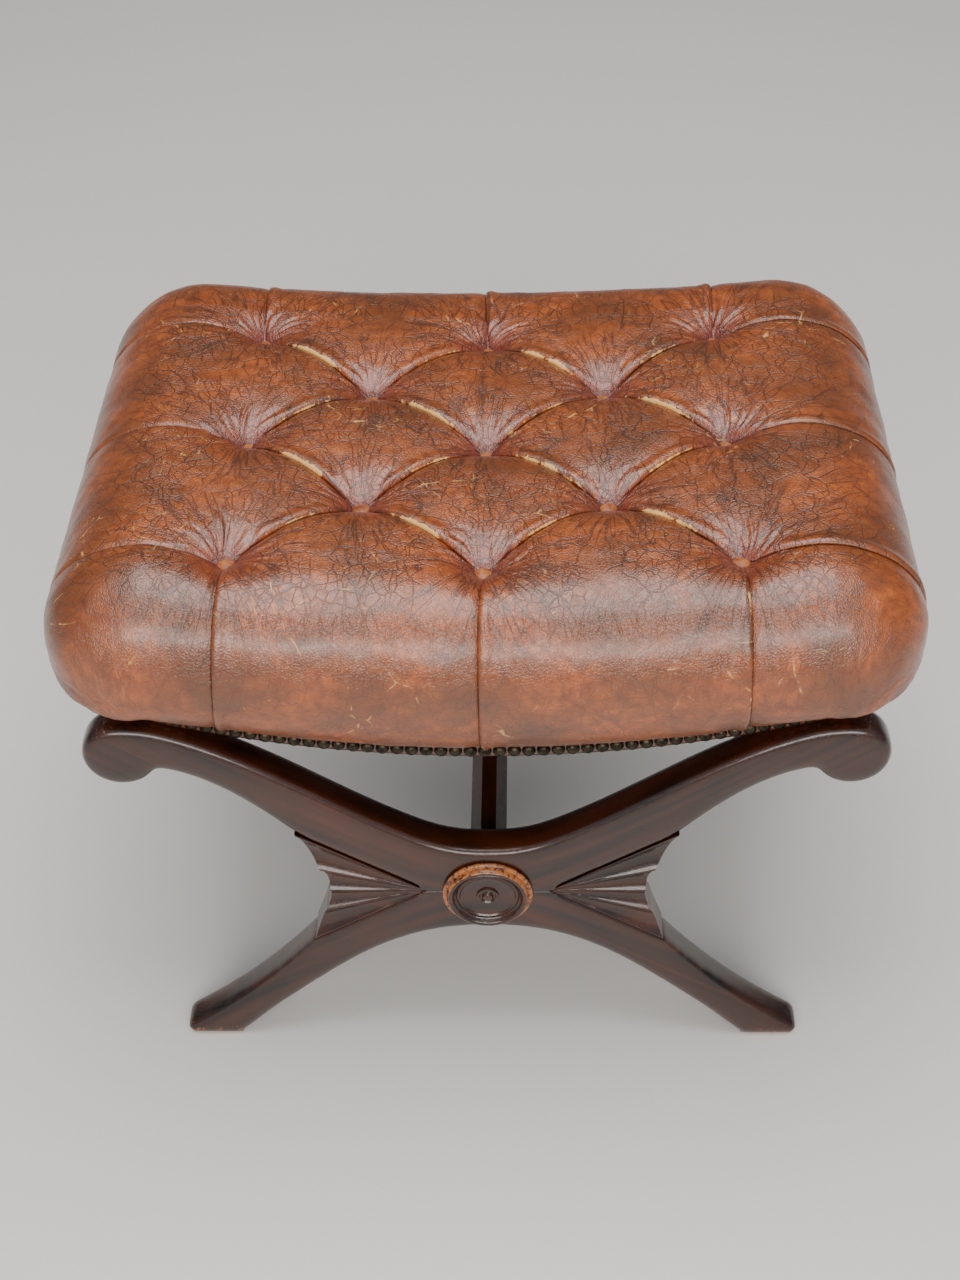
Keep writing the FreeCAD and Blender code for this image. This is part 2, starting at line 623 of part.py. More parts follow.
def right_nails():
    """Close-nailed along the level lower edge of the side rail."""
    edge = RAIL_BOTTOM + RAIL_DISH_RADIUS - sqrt(RAIL_DISH_RADIUS ** 2 - RAIL_HALF_LENGTH ** 2)
    half = RAIL_HALF_WIDTH - NAIL_CORNER_GAP
    count = int(2 * half / NAIL_PITCH)
    pattern = nail(ORIGIN, X_AXIS)
    nails = []
    for step in range(count + 1):
        copy = pattern.copy()
        copy.translate(vec(RAIL_HALF_LENGTH + LEATHER, (step - count / 2) * NAIL_PITCH, edge + NAIL_ABOVE_EDGE))
        nails.append(copy)
    return nails


# ---------------------------------------------------------------- assembly

def build():
    nodes = {}
    dowels = frame_dowels()
    centre_bore = stretcher().fuse(stretcher_screw())
    arch_cuts = group(dowels + [centre_bore] + seat_screws() + seat_screw_wells())
    right_fan = fan_right().cut(group(dowels))
    front = {
        "upper_arch": upper_arch().cut(arch_cuts),
        "lower_arch": lower_arch().cut(arch_cuts),
        "fan_right": right_fan,
        "fan_left": right_fan.mirror(ORIGIN, X_AXIS),
        "roundel": roundel(),
        "dowels": group(dowels),
    }
    for name, shape in front.items():
        nodes["front_" + name] = shape
        nodes["back_" + name] = mirrored_y(shape)

    screws = [stretcher_screw(), mirrored_y(stretcher_screw())]
    nodes["stretcher"] = stretcher().cut(group(screws))
    nodes["stretcher_screws"] = group(screws)
    nodes["seat_screws"] = group(seat_screws())

    blocks, block_screws = corner_blocks_and_screws()
    lengthwise, crosswise = webbing()
    tacks = webbing_tacks()
    cover_tacks = dust_cover_tacks()
    nails_front = front_nails()
    nails_right = right_nails()
    nails = {
        "stud_nails_front": group(nails_front),
        "stud_nails_back": group(mirrored_y(one) for one in nails_front),
        "stud_nails_right": group(nails_right),
        "stud_nails_left": group(one.mirror(ORIGIN, X_AXIS) for one in nails_right),
    }
    fixings = rail_dowels() + block_screws + tacks + cover_tacks + seat_screws()
    all_nails = [one for side in nails.values() for one in side.Solids]
    for name, rail in rails().items():
        nodes[name] = rail.cut([one for one in fixings + all_nails if one.BoundBox.intersect(rail.BoundBox)])
    nodes["rail_dowels"] = group(rail_dowels())
    nodes["corner_blocks"] = group(blocks)
    nodes["corner_block_screws"] = group(block_screws)

    strap_cuts = group(tacks + [twine(x, y) for x, y in button_places()])
    nodes["webbing_lengthwise"] = group(strap.cut(strap_cuts) for strap in lengthwise)
    nodes["webbing_crosswise"] = group(strap.cut(strap_cuts) for strap in crosswise)
    nodes["webbing_tacks"] = group(tacks)
    nodes["hessian"] = hessian()
    nodes["foam_pad"] = foam_pad()
    nodes["leather_cover"] = leather_cover(all_nails)
    nodes["seat_buttons"] = group(button(x, y) for x, y in button_places())
    nodes["button_twine"] = group(twine(x, y) for x, y in button_places())
    nodes["button_washers"] = group(button_washers())
    nodes["dust_cover"] = dust_cover().cut(group(cover_tacks))
    nodes["dust_cover_tacks"] = group(cover_tacks)
    nodes.update(nails)
    return nodes


def main():
    os.makedirs("parts", exist_ok=True)
    for name, shape in build().items():
        shape.exportStep("parts/" + name + ".step")
        print(name, "solids", len(shape.Solids), "valid", shape.isValid(), "volume", round(shape.Volume))


main()
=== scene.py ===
"""The looks of a buttoned leather footstool on two X-frames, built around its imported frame."""
from math import cos, pi, radians, sin, sqrt

import bmesh
import bpy
import numpy as np
from bpy.props import FloatProperty, FloatVectorProperty, IntProperty, PointerProperty, StringProperty
from mathutils import Matrix, Vector, noise


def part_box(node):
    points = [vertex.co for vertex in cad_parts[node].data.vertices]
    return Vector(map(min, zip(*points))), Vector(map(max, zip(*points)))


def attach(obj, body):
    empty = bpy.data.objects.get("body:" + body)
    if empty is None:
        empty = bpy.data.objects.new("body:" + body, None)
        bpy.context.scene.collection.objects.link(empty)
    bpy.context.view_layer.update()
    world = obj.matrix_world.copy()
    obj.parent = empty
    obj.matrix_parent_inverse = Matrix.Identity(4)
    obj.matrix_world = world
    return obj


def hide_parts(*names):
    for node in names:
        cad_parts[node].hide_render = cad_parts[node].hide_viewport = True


bl_info = {
    "name": "Buttoned X-frame footstool",
    "version": (1, 0, 0),
    "blender": (4, 5, 0),
    "location": "View3D > Sidebar > Footstool",
    "description": "Builds the upholstery, woodwork and studio of a leather footstool",
    "category": "Object",
}

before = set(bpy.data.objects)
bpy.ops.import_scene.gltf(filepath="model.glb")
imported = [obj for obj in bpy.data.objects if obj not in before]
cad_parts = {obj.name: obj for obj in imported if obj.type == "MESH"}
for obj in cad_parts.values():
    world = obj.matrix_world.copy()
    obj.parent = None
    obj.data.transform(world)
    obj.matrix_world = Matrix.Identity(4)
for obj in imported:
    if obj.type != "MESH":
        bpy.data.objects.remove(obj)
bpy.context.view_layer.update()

MM = 0.001
BODY = "root"
DISH_RADIUS = 800.0           # mm, arc of the rails' lower edge
SADDLE_RISE = 15.0            # mm
SADDLE_HALF_LENGTH = 232.0    # mm
SPARE = 108.0                 # mm of leather that hangs down past the seat's half sizes
STUD_LINE = 0.93              # share of the hanging leather at which it lies flat on the rail
STUD_BAND = 10.5              # mm, height of the flat band under the stud nails
GRID = 1.8 * MM               # even grid on which the arches' edges are softened
SOFTENING = 26                # passes of that softening
SCROLL_CENTRE = (262.0, 332.0)    # mm, X and Z of the scrolled ends of the arms
SCROLL_REACH = 34.0           # mm round it where the polish is rubbed
TOE_REACH = 30.0              # mm above the floor where the polish is rubbed
BUTTON_SINK = 2.4             # mm that the buttons behind the front row sit deeper


# ---------------------------------------------------------------- settings

class FootstoolUpholstery(bpy.types.PropertyGroup):
    """Sizes of the leather seat."""

    cells: IntProperty(name="Cells", description="Mesh cells between neighbouring buttons", default=40)
    pleat_depth: FloatProperty(name="Pleat depth", description="How far a diamond pleat sinks, mm",
                               default=6.5)
    edge_pleat_depth: FloatProperty(name="Edge pleat depth", description="Depth of the edge pleats, mm",
                                    default=3.6)
    lip: FloatProperty(name="Pleat lip", description="How far a fold laps over its neighbour, mm",
                       default=6.0)
    bow: FloatProperty(name="Pleat bow", description="How far a pleat bows backwards, mm", default=5.0)
    roll_side: FloatProperty(name="Side roll", description="Plan radius of the rolled ends, mm", default=74.0)
    roll_front: FloatProperty(name="Front roll", description="Plan radius of the worn front edge, mm",
                              default=66.0)
    roll_back: FloatProperty(name="Back roll", description="Plan radius of the back edge, mm", default=54.0)
    widest: FloatProperty(name="Widest height", description="Height of the widest line, mm", default=391.0)
    widest_front: FloatProperty(name="Widest height, front", description="The same in front, mm",
                                default=374.0)
    widest_back: FloatProperty(name="Widest height, back", description="The same at the back, mm",
                               default=414.0)
    gather: FloatProperty(name="Gathers", description="Height of the gathers round a button, mm", default=1.0)


class FootstoolColours(bpy.types.PropertyGroup):
    """Colours as sRGB hex."""

    leather: StringProperty(name="Leather", description="Chestnut leather where it is least rubbed",
                            default="75350C")
    leather_light: StringProperty(name="Rubbed leather", description="Leather where light wear shows",
                                  default="A85316")
    leather_patina: StringProperty(name="Patina", description="Brown dirt and wax on the crowns",
                                   default="3E240C")
    leather_pit: StringProperty(name="Pit", description="Reddish leather in the pits", default="6A2418")
    # also painted shade: the same dark colour darkens the gaps under the fold lips, two creases and the hem
    # at the studs
    crack_dirt_and_shade: StringProperty(name="Cracks", description="Dirt in the cracks", default="1E0C06")
    leather_raw: StringProperty(name="Raw edge", description="Bare hide on worn fold edges", default="D8A860")
    wood_dark: StringProperty(name="Dark mahogany", description="Dark streaks of the polished wood",
                              default="110502")
    wood_light: StringProperty(name="Light mahogany", description="Light streaks of the polished wood",
                               default="451C08")
    wood_rubbed: StringProperty(name="Rubbed mahogany", description="Wood where the polish is gone",
                                default="A4602A")
    stud: StringProperty(name="Studs", description="Antiqued bronze of the stud nails", default="4A4232")
    floor: StringProperty(name="Floor", description="Pale studio floor", default="D8D6D2")


class FootstoolCamera(bpy.types.PropertyGroup):
    """Where the stool is seen from."""

    place: FloatVectorProperty(name="Place", description="Camera position", unit="LENGTH",
                               default=(0.0303, -1.1567, 1.2623))
    pitch: FloatProperty(name="Pitch", description="Angle down from level, degrees", default=41.37)
    yaw: FloatProperty(name="Yaw", description="Turn to the left, degrees", default=1.88)
    roll: FloatProperty(name="Roll", description="Tilt of the horizon, degrees", default=1.41)
    lens: FloatProperty(name="Lens", description="Focal length for a 36 mm sensor, mm", default=55.05)


# ---------------------------------------------------------------- small helpers

def linear(hex_colour):
    """An sRGB hex value as a linear RGBA colour."""
    channels = [int(hex_colour[i:i + 2], 16) / 255 for i in (0, 2, 4)]
    return tuple(c / 12.92 if c <= 0.04045 else ((c + 0.055) / 1.055) ** 2.4 for c in channels) + (1.0,)


def add_node(material, kind, inputs=None, **settings):
    """Add a shader node with its settings. An input is a value or the output socket that feeds it."""
    node = material.node_tree.nodes.new(kind)
    for name, value in settings.items():
        setattr(node, name, value)
    for key, value in (inputs or {}).items():
        if isinstance(value, bpy.types.NodeSocket):
            material.node_tree.links.new(value, node.inputs[key])
        else:
            node.inputs[key].default_value = value
    return node


def new_material(name):
    """An empty material with its output and shader, which is returned with it."""
    material = bpy.data.materials.new(name)
    material.use_nodes = True
    shader = material.node_tree.nodes["Principled BSDF"]
    return material, shader


def feed(material, output, socket):
    material.node_tree.links.new(output, socket)


def ramp(material, factor, stops):
    """A colour ramp: stops are (position, linear colour or grey level)."""
    node = add_node(material, "ShaderNodeValToRGB", {"Fac": factor})
    elements = node.color_ramp.elements
    while len(elements) < len(stops):
        elements.new(0.5)
    for element, (position, colour) in zip(elements, stops):
        element.position = position
        element.color = colour if hasattr(colour, "__len__") else (colour, colour, colour, 1.0)
    return node.outputs["Color"]


def mixed(material, factor, first, second, mode="MIX"):
    node = add_node(material, "ShaderNodeMix", {"Factor": factor}, data_type="RGBA", blend_type=mode)
    for index, value in ((6, first), (7, second)):
        if isinstance(value, bpy.types.NodeSocket):
            feed(material, value, node.inputs[index])
        else:
            node.inputs[index].default_value = value
    return node.outputs[2]


def maths(material, operation, first, second=0.0, clamp=False):
    return add_node(material, "ShaderNodeMath", {0: first, 1: second}, operation=operation,
                    use_clamp=clamp).outputs[0]


def finish_piece(name, bm, material, smooth=True):
    """Turn a bmesh in metres into an object that rides on the stool."""
    mesh = bpy.data.meshes.new(name)
    bm.to_mesh(mesh)
    bm.free()
    piece = bpy.data.objects.new(name, mesh)
    bpy.context.scene.collection.objects.link(piece)
    piece.data.materials.append(material)
    if smooth:
        for face in mesh.polygons:
            face.use_smooth = True
    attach(piece, BODY)
    return piece


def islands(node):
    """Lowest and highest corners of each separate solid of a CAD node."""
    bm = merged_mesh(node)
    seen = set()
    boxes = []
    for start in bm.verts:
        if start in seen:
            continue
        seen.add(start)
        stack = [start]
        members = []
        while stack:
            vert = stack.pop()
            members.append(vert.co.copy())
            for edge in vert.link_edges:
                other = edge.other_vert(vert)
                if other not in seen:
                    seen.add(other)
                    stack.append(other)
        low = Vector(min(co[i] for co in members) for i in range(3))
        high = Vector(max(co[i] for co in members) for i in range(3))
        boxes.append((low, high))
    bm.free()
    return boxes


def merged_mesh(node):
    """A bmesh of a CAD node with its corners joined."""
    bm = bmesh.new()
    bm.from_mesh(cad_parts[node].data)
    bmesh.ops.remove_doubles(bm, verts=bm.verts, dist=1e-6)
    return bm


def cloth_copy(node, name, material):
    """A tacked-down cloth: a merged, flat-shaded copy of its CAD node, which it hides."""
    piece = finish_piece(name, merged_mesh(node), material, smooth=False)
    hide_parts(node)
    return piece


def merged_copy(node, material, sharp_angle, grain):
    """A smooth-shaded copy of a wooden CAD node."""
    bm = merged_mesh(node)
    for edge in bm.edges:
        edge.smooth = edge.is_manifold and edge.calc_face_angle(0.0) < radians(sharp_angle)
    piece = finish_piece(node + "_polished", bm, material)
    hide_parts(node)
    store_wood(piece.data, grain)
    return piece


# ---------------------------------------------------------------- leather seat

def puff(share, power=2.2):
    """0 at a pleat, 1 on a crown, rising steeply like a stuffed pillow."""
    return 1 - (1 - np.clip(share, 0, 1)) ** power


class Seat:
    """The shape of the buttoned leather, worked out on a flat sheet and laid over the stuffing. All in mm."""

    def __init__(self, sizes):
        low, high = (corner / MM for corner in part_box("leather_cover"))
        rail_low, rail_high = (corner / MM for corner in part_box("seat_rail_front"))
        self.sizes = sizes
        self.half_length = high.x
        self.half_width = high.y
        self.crown = high.z
        self.skirt_x = rail_high.x + 2
        self.skirt_y = -rail_low.y + 2
        self.edge_low = rail_low.z
        self.rail_half = rail_high.x
        self.buttons = [((low.x + high.x) / 2 / MM, (low.y + high.y) / 2 / MM, low.z / MM)
                        for low, high in islands("seat_buttons")]
        self.pitch_x = max(x for x, y, z in self.buttons)
        self.pitch_y = max(y for x, y, z in self.buttons) / 2
        self.step_x = self.pitch_x / 2 / sizes.cells
        self.step_y = self.pitch_y / sizes.cells
        self.count_x = round((self.half_length + SPARE) / self.step_x)
        self.count_y = round((self.half_width + SPARE) / self.step_y)
        self.extent_x = self.count_x * self.step_x
        self.extent_y = self.count_y * self.step_y

    def edge_height(self, x):
        """Lower edge of the leather: the arc of the front and back rails."""
        return self.edge_low + DISH_RADIUS - np.sqrt(DISH_RADIUS ** 2 - np.minimum(np.abs(x),
                                                                                   self.rail_half) ** 2)

    def saddle(self, x):
        """Height of the seat before it is buttoned: hollow in the middle, level near the ends."""
        rise = SADDLE_RISE * (x / SADDLE_HALF_LENGTH) ** 2
        soft = 1.2
        return self.crown - 3 - np.log1p(np.exp((SADDLE_RISE - rise) / soft)) * soft

    def base(self, sheet_x, sheet_y):
        """Lay flat sheet points over the plain stuffed seat. Returns places as an (n, 3) array."""
        sizes = self.sizes
        front = sheet_y < 0
        roll_y = np.where(front, sizes.roll_front, sizes.roll_back)
        inner_x = self.half_length - sizes.roll_side
        inner_y = self.half_width - roll_y + np.where(front, 0, 2)
        over_x = np.maximum(np.abs(sheet_x) - inner_x, 0) / (self.extent_x - inner_x)
        over_y = np.maximum(np.abs(sheet_y) - inner_y, 0) / (self.extent_y - inner_y)
        share = np.maximum(over_x, over_y)
        safe = np.where(share > 0, share, 1)
        turn = np.where(over_x >= over_y, pi / 4 * over_y / safe, pi / 2 - pi / 4 * over_x / safe)
        turn = np.where(over_y == 0, 0.0, np.where(over_x == 0, pi / 2, turn))
        out_x, out_y = np.cos(turn), np.sin(turn)
        side, end = out_x ** 2, out_y ** 2
        roll = side * sizes.roll_side + end * roll_y
        widest = side * sizes.widest + end * np.where(front, sizes.widest_front, sizes.widest_back)
        fullness = side + end * np.where(front, 0.94, 0.70)
        split = 0.50
        upper = np.clip(share / split, 0, 1) * pi / 2
        lower_most = radians(74)
        lower = np.clip((share - split) / (STUD_LINE - split), 0, 1) * lower_most
        fall = ((1 - np.cos(lower)) / (1 - cos(lower_most))) ** (1 + 3.2 * 4 * side * end)
        inset = side * (self.half_length - self.skirt_x) + end * (inner_y + roll_y - self.skirt_y)
        out = roll * np.sin(upper) ** fullness - inset * fall
        flat_x = np.clip(sheet_x, -inner_x, inner_x)
        flat_y = np.clip(sheet_y, -inner_y, inner_y)
        top = self.saddle(flat_x)
        flare = np.clip((share - 0.2) / 0.8, 0, 1) * (over_y > over_x) * front
        spread = flat_x * (0.095 - 0.035 * np.sign(flat_x)) * (1 - (flat_x / inner_x) ** 2)
        x = flat_x + out_x * np.sign(sheet_x) * out + flare * spread
        y = flat_y + out_y * np.sign(sheet_y) * out
        edge = self.edge_height(x)
        studs = edge + STUD_BAND
        z = np.where(share <= split,
                     top - (top - widest) * (1 - np.cos(upper) ** fullness),
                     widest - (widest - studs) * np.sin(lower) / sin(lower_most))
        z = np.where(share > STUD_LINE, studs - STUD_BAND * (share - STUD_LINE) / (1 - STUD_LINE), z)
        return np.stack([x, y, z], axis=1)

    def crowd(self, x, y):
        """Slide sheet points towards the pleats, so that the folds have the most mesh."""
        pull = 0.55 / (2 * pi)
        px, py = self.pitch_x, 2 * self.pitch_y
        inside = (np.abs(x) <= px) & (np.abs(y) <= py)
        p = (x / (px / 2) + y / (py / 2)) / 2
        q = (x / (px / 2) - y / (py / 2)) / 2
        p2 = p - pull * np.sin(2 * pi * p)
        q2 = q - pull * np.sin(2 * pi * q)
        outer_x = np.where(np.abs(x) < 1.5 * px, x - px * pull * np.sin(2 * pi * x / px), x)
        outer_y = np.where(np.abs(y) < 1.5 * py, y - py * pull * np.sin(2 * pi * y / py), y)
        new_x = np.where(inside, (p2 + q2) * px / 2, outer_x)
        new_y = np.where(inside, (p2 - q2) * py / 2, outer_y)
        return new_x, new_y

    def shape(self, x, y):
        """Places of the sheet's points, and what the leather's look depends on at each."""
        sizes = self.sizes
        px, py = self.pitch_x, 2 * self.pitch_y
        gap = 54.0
        u = np.clip(x, -px, px) / (px / 2)
        v = np.clip(y, -py, py) / (py / 2)
        p = (u + v) / 2
        q = (u - v) / 2
        near_p = p - np.round(p)
        near_q = q - np.round(q)
        a, b = 2 * np.abs(near_p), 2 * np.abs(near_q)
        out_x = np.clip((np.abs(x) - px) / gap, 0, 1)
        out_y = np.clip((np.abs(y) - py) / gap, 0, 1)
        line_x = np.round(np.clip(x / px, -1, 1)) * px
        line_y = np.round(np.clip(y / py, -1, 1)) * py
        off_x, off_y = x - line_x, y - line_y
        pit = (1 - puff(a)) * (1 - puff(b)) * (1 - puff(out_x)) * (1 - puff(out_y))

        depth = np.zeros_like(x)
        weight = np.zeros_like(x)
        for bx, by, bz in self.buttons:
            near = np.exp(-((x - bx) ** 2 + (y - by) ** 2) / 55.0 ** 2)
            drop = float(self.saddle(np.array([bx]))[0]) - bz + 0.8
            depth += near * drop
            weight += near
        depth = depth / np.maximum(weight, 1e-9)

        lap = 1 / sqrt(1 / px ** 2 + 1 / py ** 2)
        inside = (1 - puff(out_x)) * (1 - puff(out_y))
        height = -depth * pit + 2.2 * puff(a, 2.0) * puff(b, 2.0) * inside
        shift_x = np.zeros_like(x)
        shift_y = np.zeros_like(x)
        worn = np.zeros_like(x)
        # dark is a painted shade mask: the gap under each fold's lip, two creases and the hem at the studs
        dark = np.zeros_like(x)
        along_p, along_q = np.abs(np.sin(pi * q)) * inside, np.abs(np.sin(pi * p)) * inside
        side_x = np.where(line_x > 0, -1.0, 1.0)
        strong_y = np.where(x > 0, np.where(line_y < 0, 1.0, 0.5), 0.10)
        edge_depth = sizes.edge_pleat_depth
        patchy = 0.75 + 0.5 * self.wander(x, y, 1 / 16.0, 11.0)
        # across the fold, along it, the way it laps, depth, lip, how much its rim is worn and how widely
        folds = (
            (near_p * lap, along_p, (1 / px, 1 / py), sizes.pleat_depth, 1.0, 1.15 * along_p * patchy, 1.7),
            (-near_q * lap, along_q, (-1 / px, 1 / py), sizes.pleat_depth, 0.8, 0.85 * along_q * patchy, 0.9),
            (off_x * side_x, puff(out_y, 1.6), (side_x, 0.0), edge_depth, 0.8,
             np.where(line_x > 0, 1.2 - 0.6 * out_y, 0.25) * patchy, 1.4),
            (off_y, puff(out_x, 1.6), (0.0, 1.0), edge_depth * (0.3 + 0.7 * strong_y), strong_y,
             0.45 * strong_y, 1.4),
        )
        for across, along, direction, crease, lip, wearing, breadth in folds:
            length = np.hypot(direction[0], direction[1])
            height -= crease * along * np.exp(-np.abs(across) / 4.0)
            height += 3.0 * lip * along * np.where(across > 0, np.exp(-((across - 4.0) / 3.2) ** 2), 0.0)
            rim = np.where(across > 0, (across / 2.4) * np.exp(1 - across / 2.4), 0.0)
            slide = -sizes.lip * lip * along * rim
            shift_x += slide * direction[0] / length
            shift_y += slide * direction[1] / length
            worn = np.maximum(worn, wearing * np.sqrt(along) * np.exp(-((across - 2.4) / breadth) ** 2))
            # painted shadow in the gap under the fold's lip
            dark = np.maximum(dark, lip * along * np.exp(-((across + 0.6) / 1.8) ** 2))
        for across, along in ((near_p * lap, along_p), (near_q * lap, along_q)):
            shift_y += sizes.bow * along ** 2 * np.exp(-(across / 24.0) ** 2)

        # two creases between the middle buttons, with painted shade along them
        for line, strength in ((-5.0, 1.0), (6.0, 0.8)):
            run = np.clip(np.cos(pi * (np.abs(y) - 68.5) / 118.0), 0, 1) * (np.abs(y) < 137)
            height -= 2.0 * strength * run * np.exp(-np.abs(x - line - 0.03 * y) / 2.0)
            # painted shade along the crease
            dark = np.maximum(dark, 0.8 * strength * run * np.exp(-((x - line - 0.03 * y) / 1.3) ** 2))

        gathers = np.zeros_like(x)
        near, next_near = np.full_like(x, 1e6), np.full_like(x, 1e6)
        spoke = np.zeros((len(x), 3))
        for index, (bx, by, bz) in enumerate(self.buttons):
            dx, dy = x - bx, y - by
            r = np.hypot(dx, dy) + 1e-6
            theta = np.arctan2(dy, dx) + 0.25 * np.sin(r / 14.0 + index)
            count = 17 + (index * 5) % 4
            ridge = np.abs(np.sin(theta * count / 2 + index * 1.7)) ** 0.8 - 0.6
            fine = 0.4 * np.sin(theta * (count + 9) + index)
            back = 0.8 + 0.4 * np.sin(np.arctan2(dy, dx))
            gathers += sizes.gather * (ridge + fine) * np.exp(-((r - 20) / 15.0) ** 2) * back
            nearest = r < near
            next_near = np.where(nearest, near, np.minimum(next_near, r))
            near = np.where(nearest, r, near)
            spoke[nearest] = np.stack([dx, dy, np.full_like(x, 3000.0 * index)], axis=1)[nearest]
        height += gathers
        height += 0.8 * self.wander(x, y, 1 / 38.0, 0.0) + 0.4 * self.wander(x, y, 1 / 13.0, 7.0)

        step = 0.5
        place = self.base(x, y)
        along_x = (self.base(x + step, y) - self.base(x - step, y)) / (2 * step)
        along_y = (self.base(x, y + step) - self.base(x, y - step)) / (2 * step)
        normal = np.cross(along_x, along_y)
        normal /= np.linalg.norm(normal, axis=1)[:, None] + 1e-9
        hem = np.clip((self.extent_x - 12 - np.abs(x)) / 12.0, 0, 1)
        hem = np.minimum(hem, np.clip((self.extent_y - 12 - np.abs(y)) / 12.0, 0, 1))
        place += normal * (height * hem)[:, None]
        unit_x = along_x / (np.linalg.norm(along_x, axis=1)[:, None] + 1e-9)
        unit_y = along_y / (np.linalg.norm(along_y, axis=1)[:, None] + 1e-9)
        place += unit_x * (shift_x * hem)[:, None] + unit_y * (shift_y * hem)[:, None]
        border = np.minimum(self.extent_x - np.abs(x), self.extent_y - np.abs(y))
        # painted shade on the hem tucked under at the stud line
        dark = np.maximum(dark, 0.95 * np.clip((13.0 - border) / 3.0, 0, 1))
        halo = np.stack([near * MM, np.clip((1 - near / next_near) / 0.25, 0, 1), np.zeros_like(x)], axis=1)
        # the gap attribute carries the painted shade mask
        return place, {"worn": worn, "pit": np.maximum(pit, 0), "gap": dark, "spoke": spoke * MM,
                       "halo": halo}

    def wander(self, x, y, frequency, seed):
        """Smooth unevenness between about -1 and 1."""
        return np.array([noise.noise(Vector((i * frequency, j * frequency, seed))) for i, j in zip(x, y)])


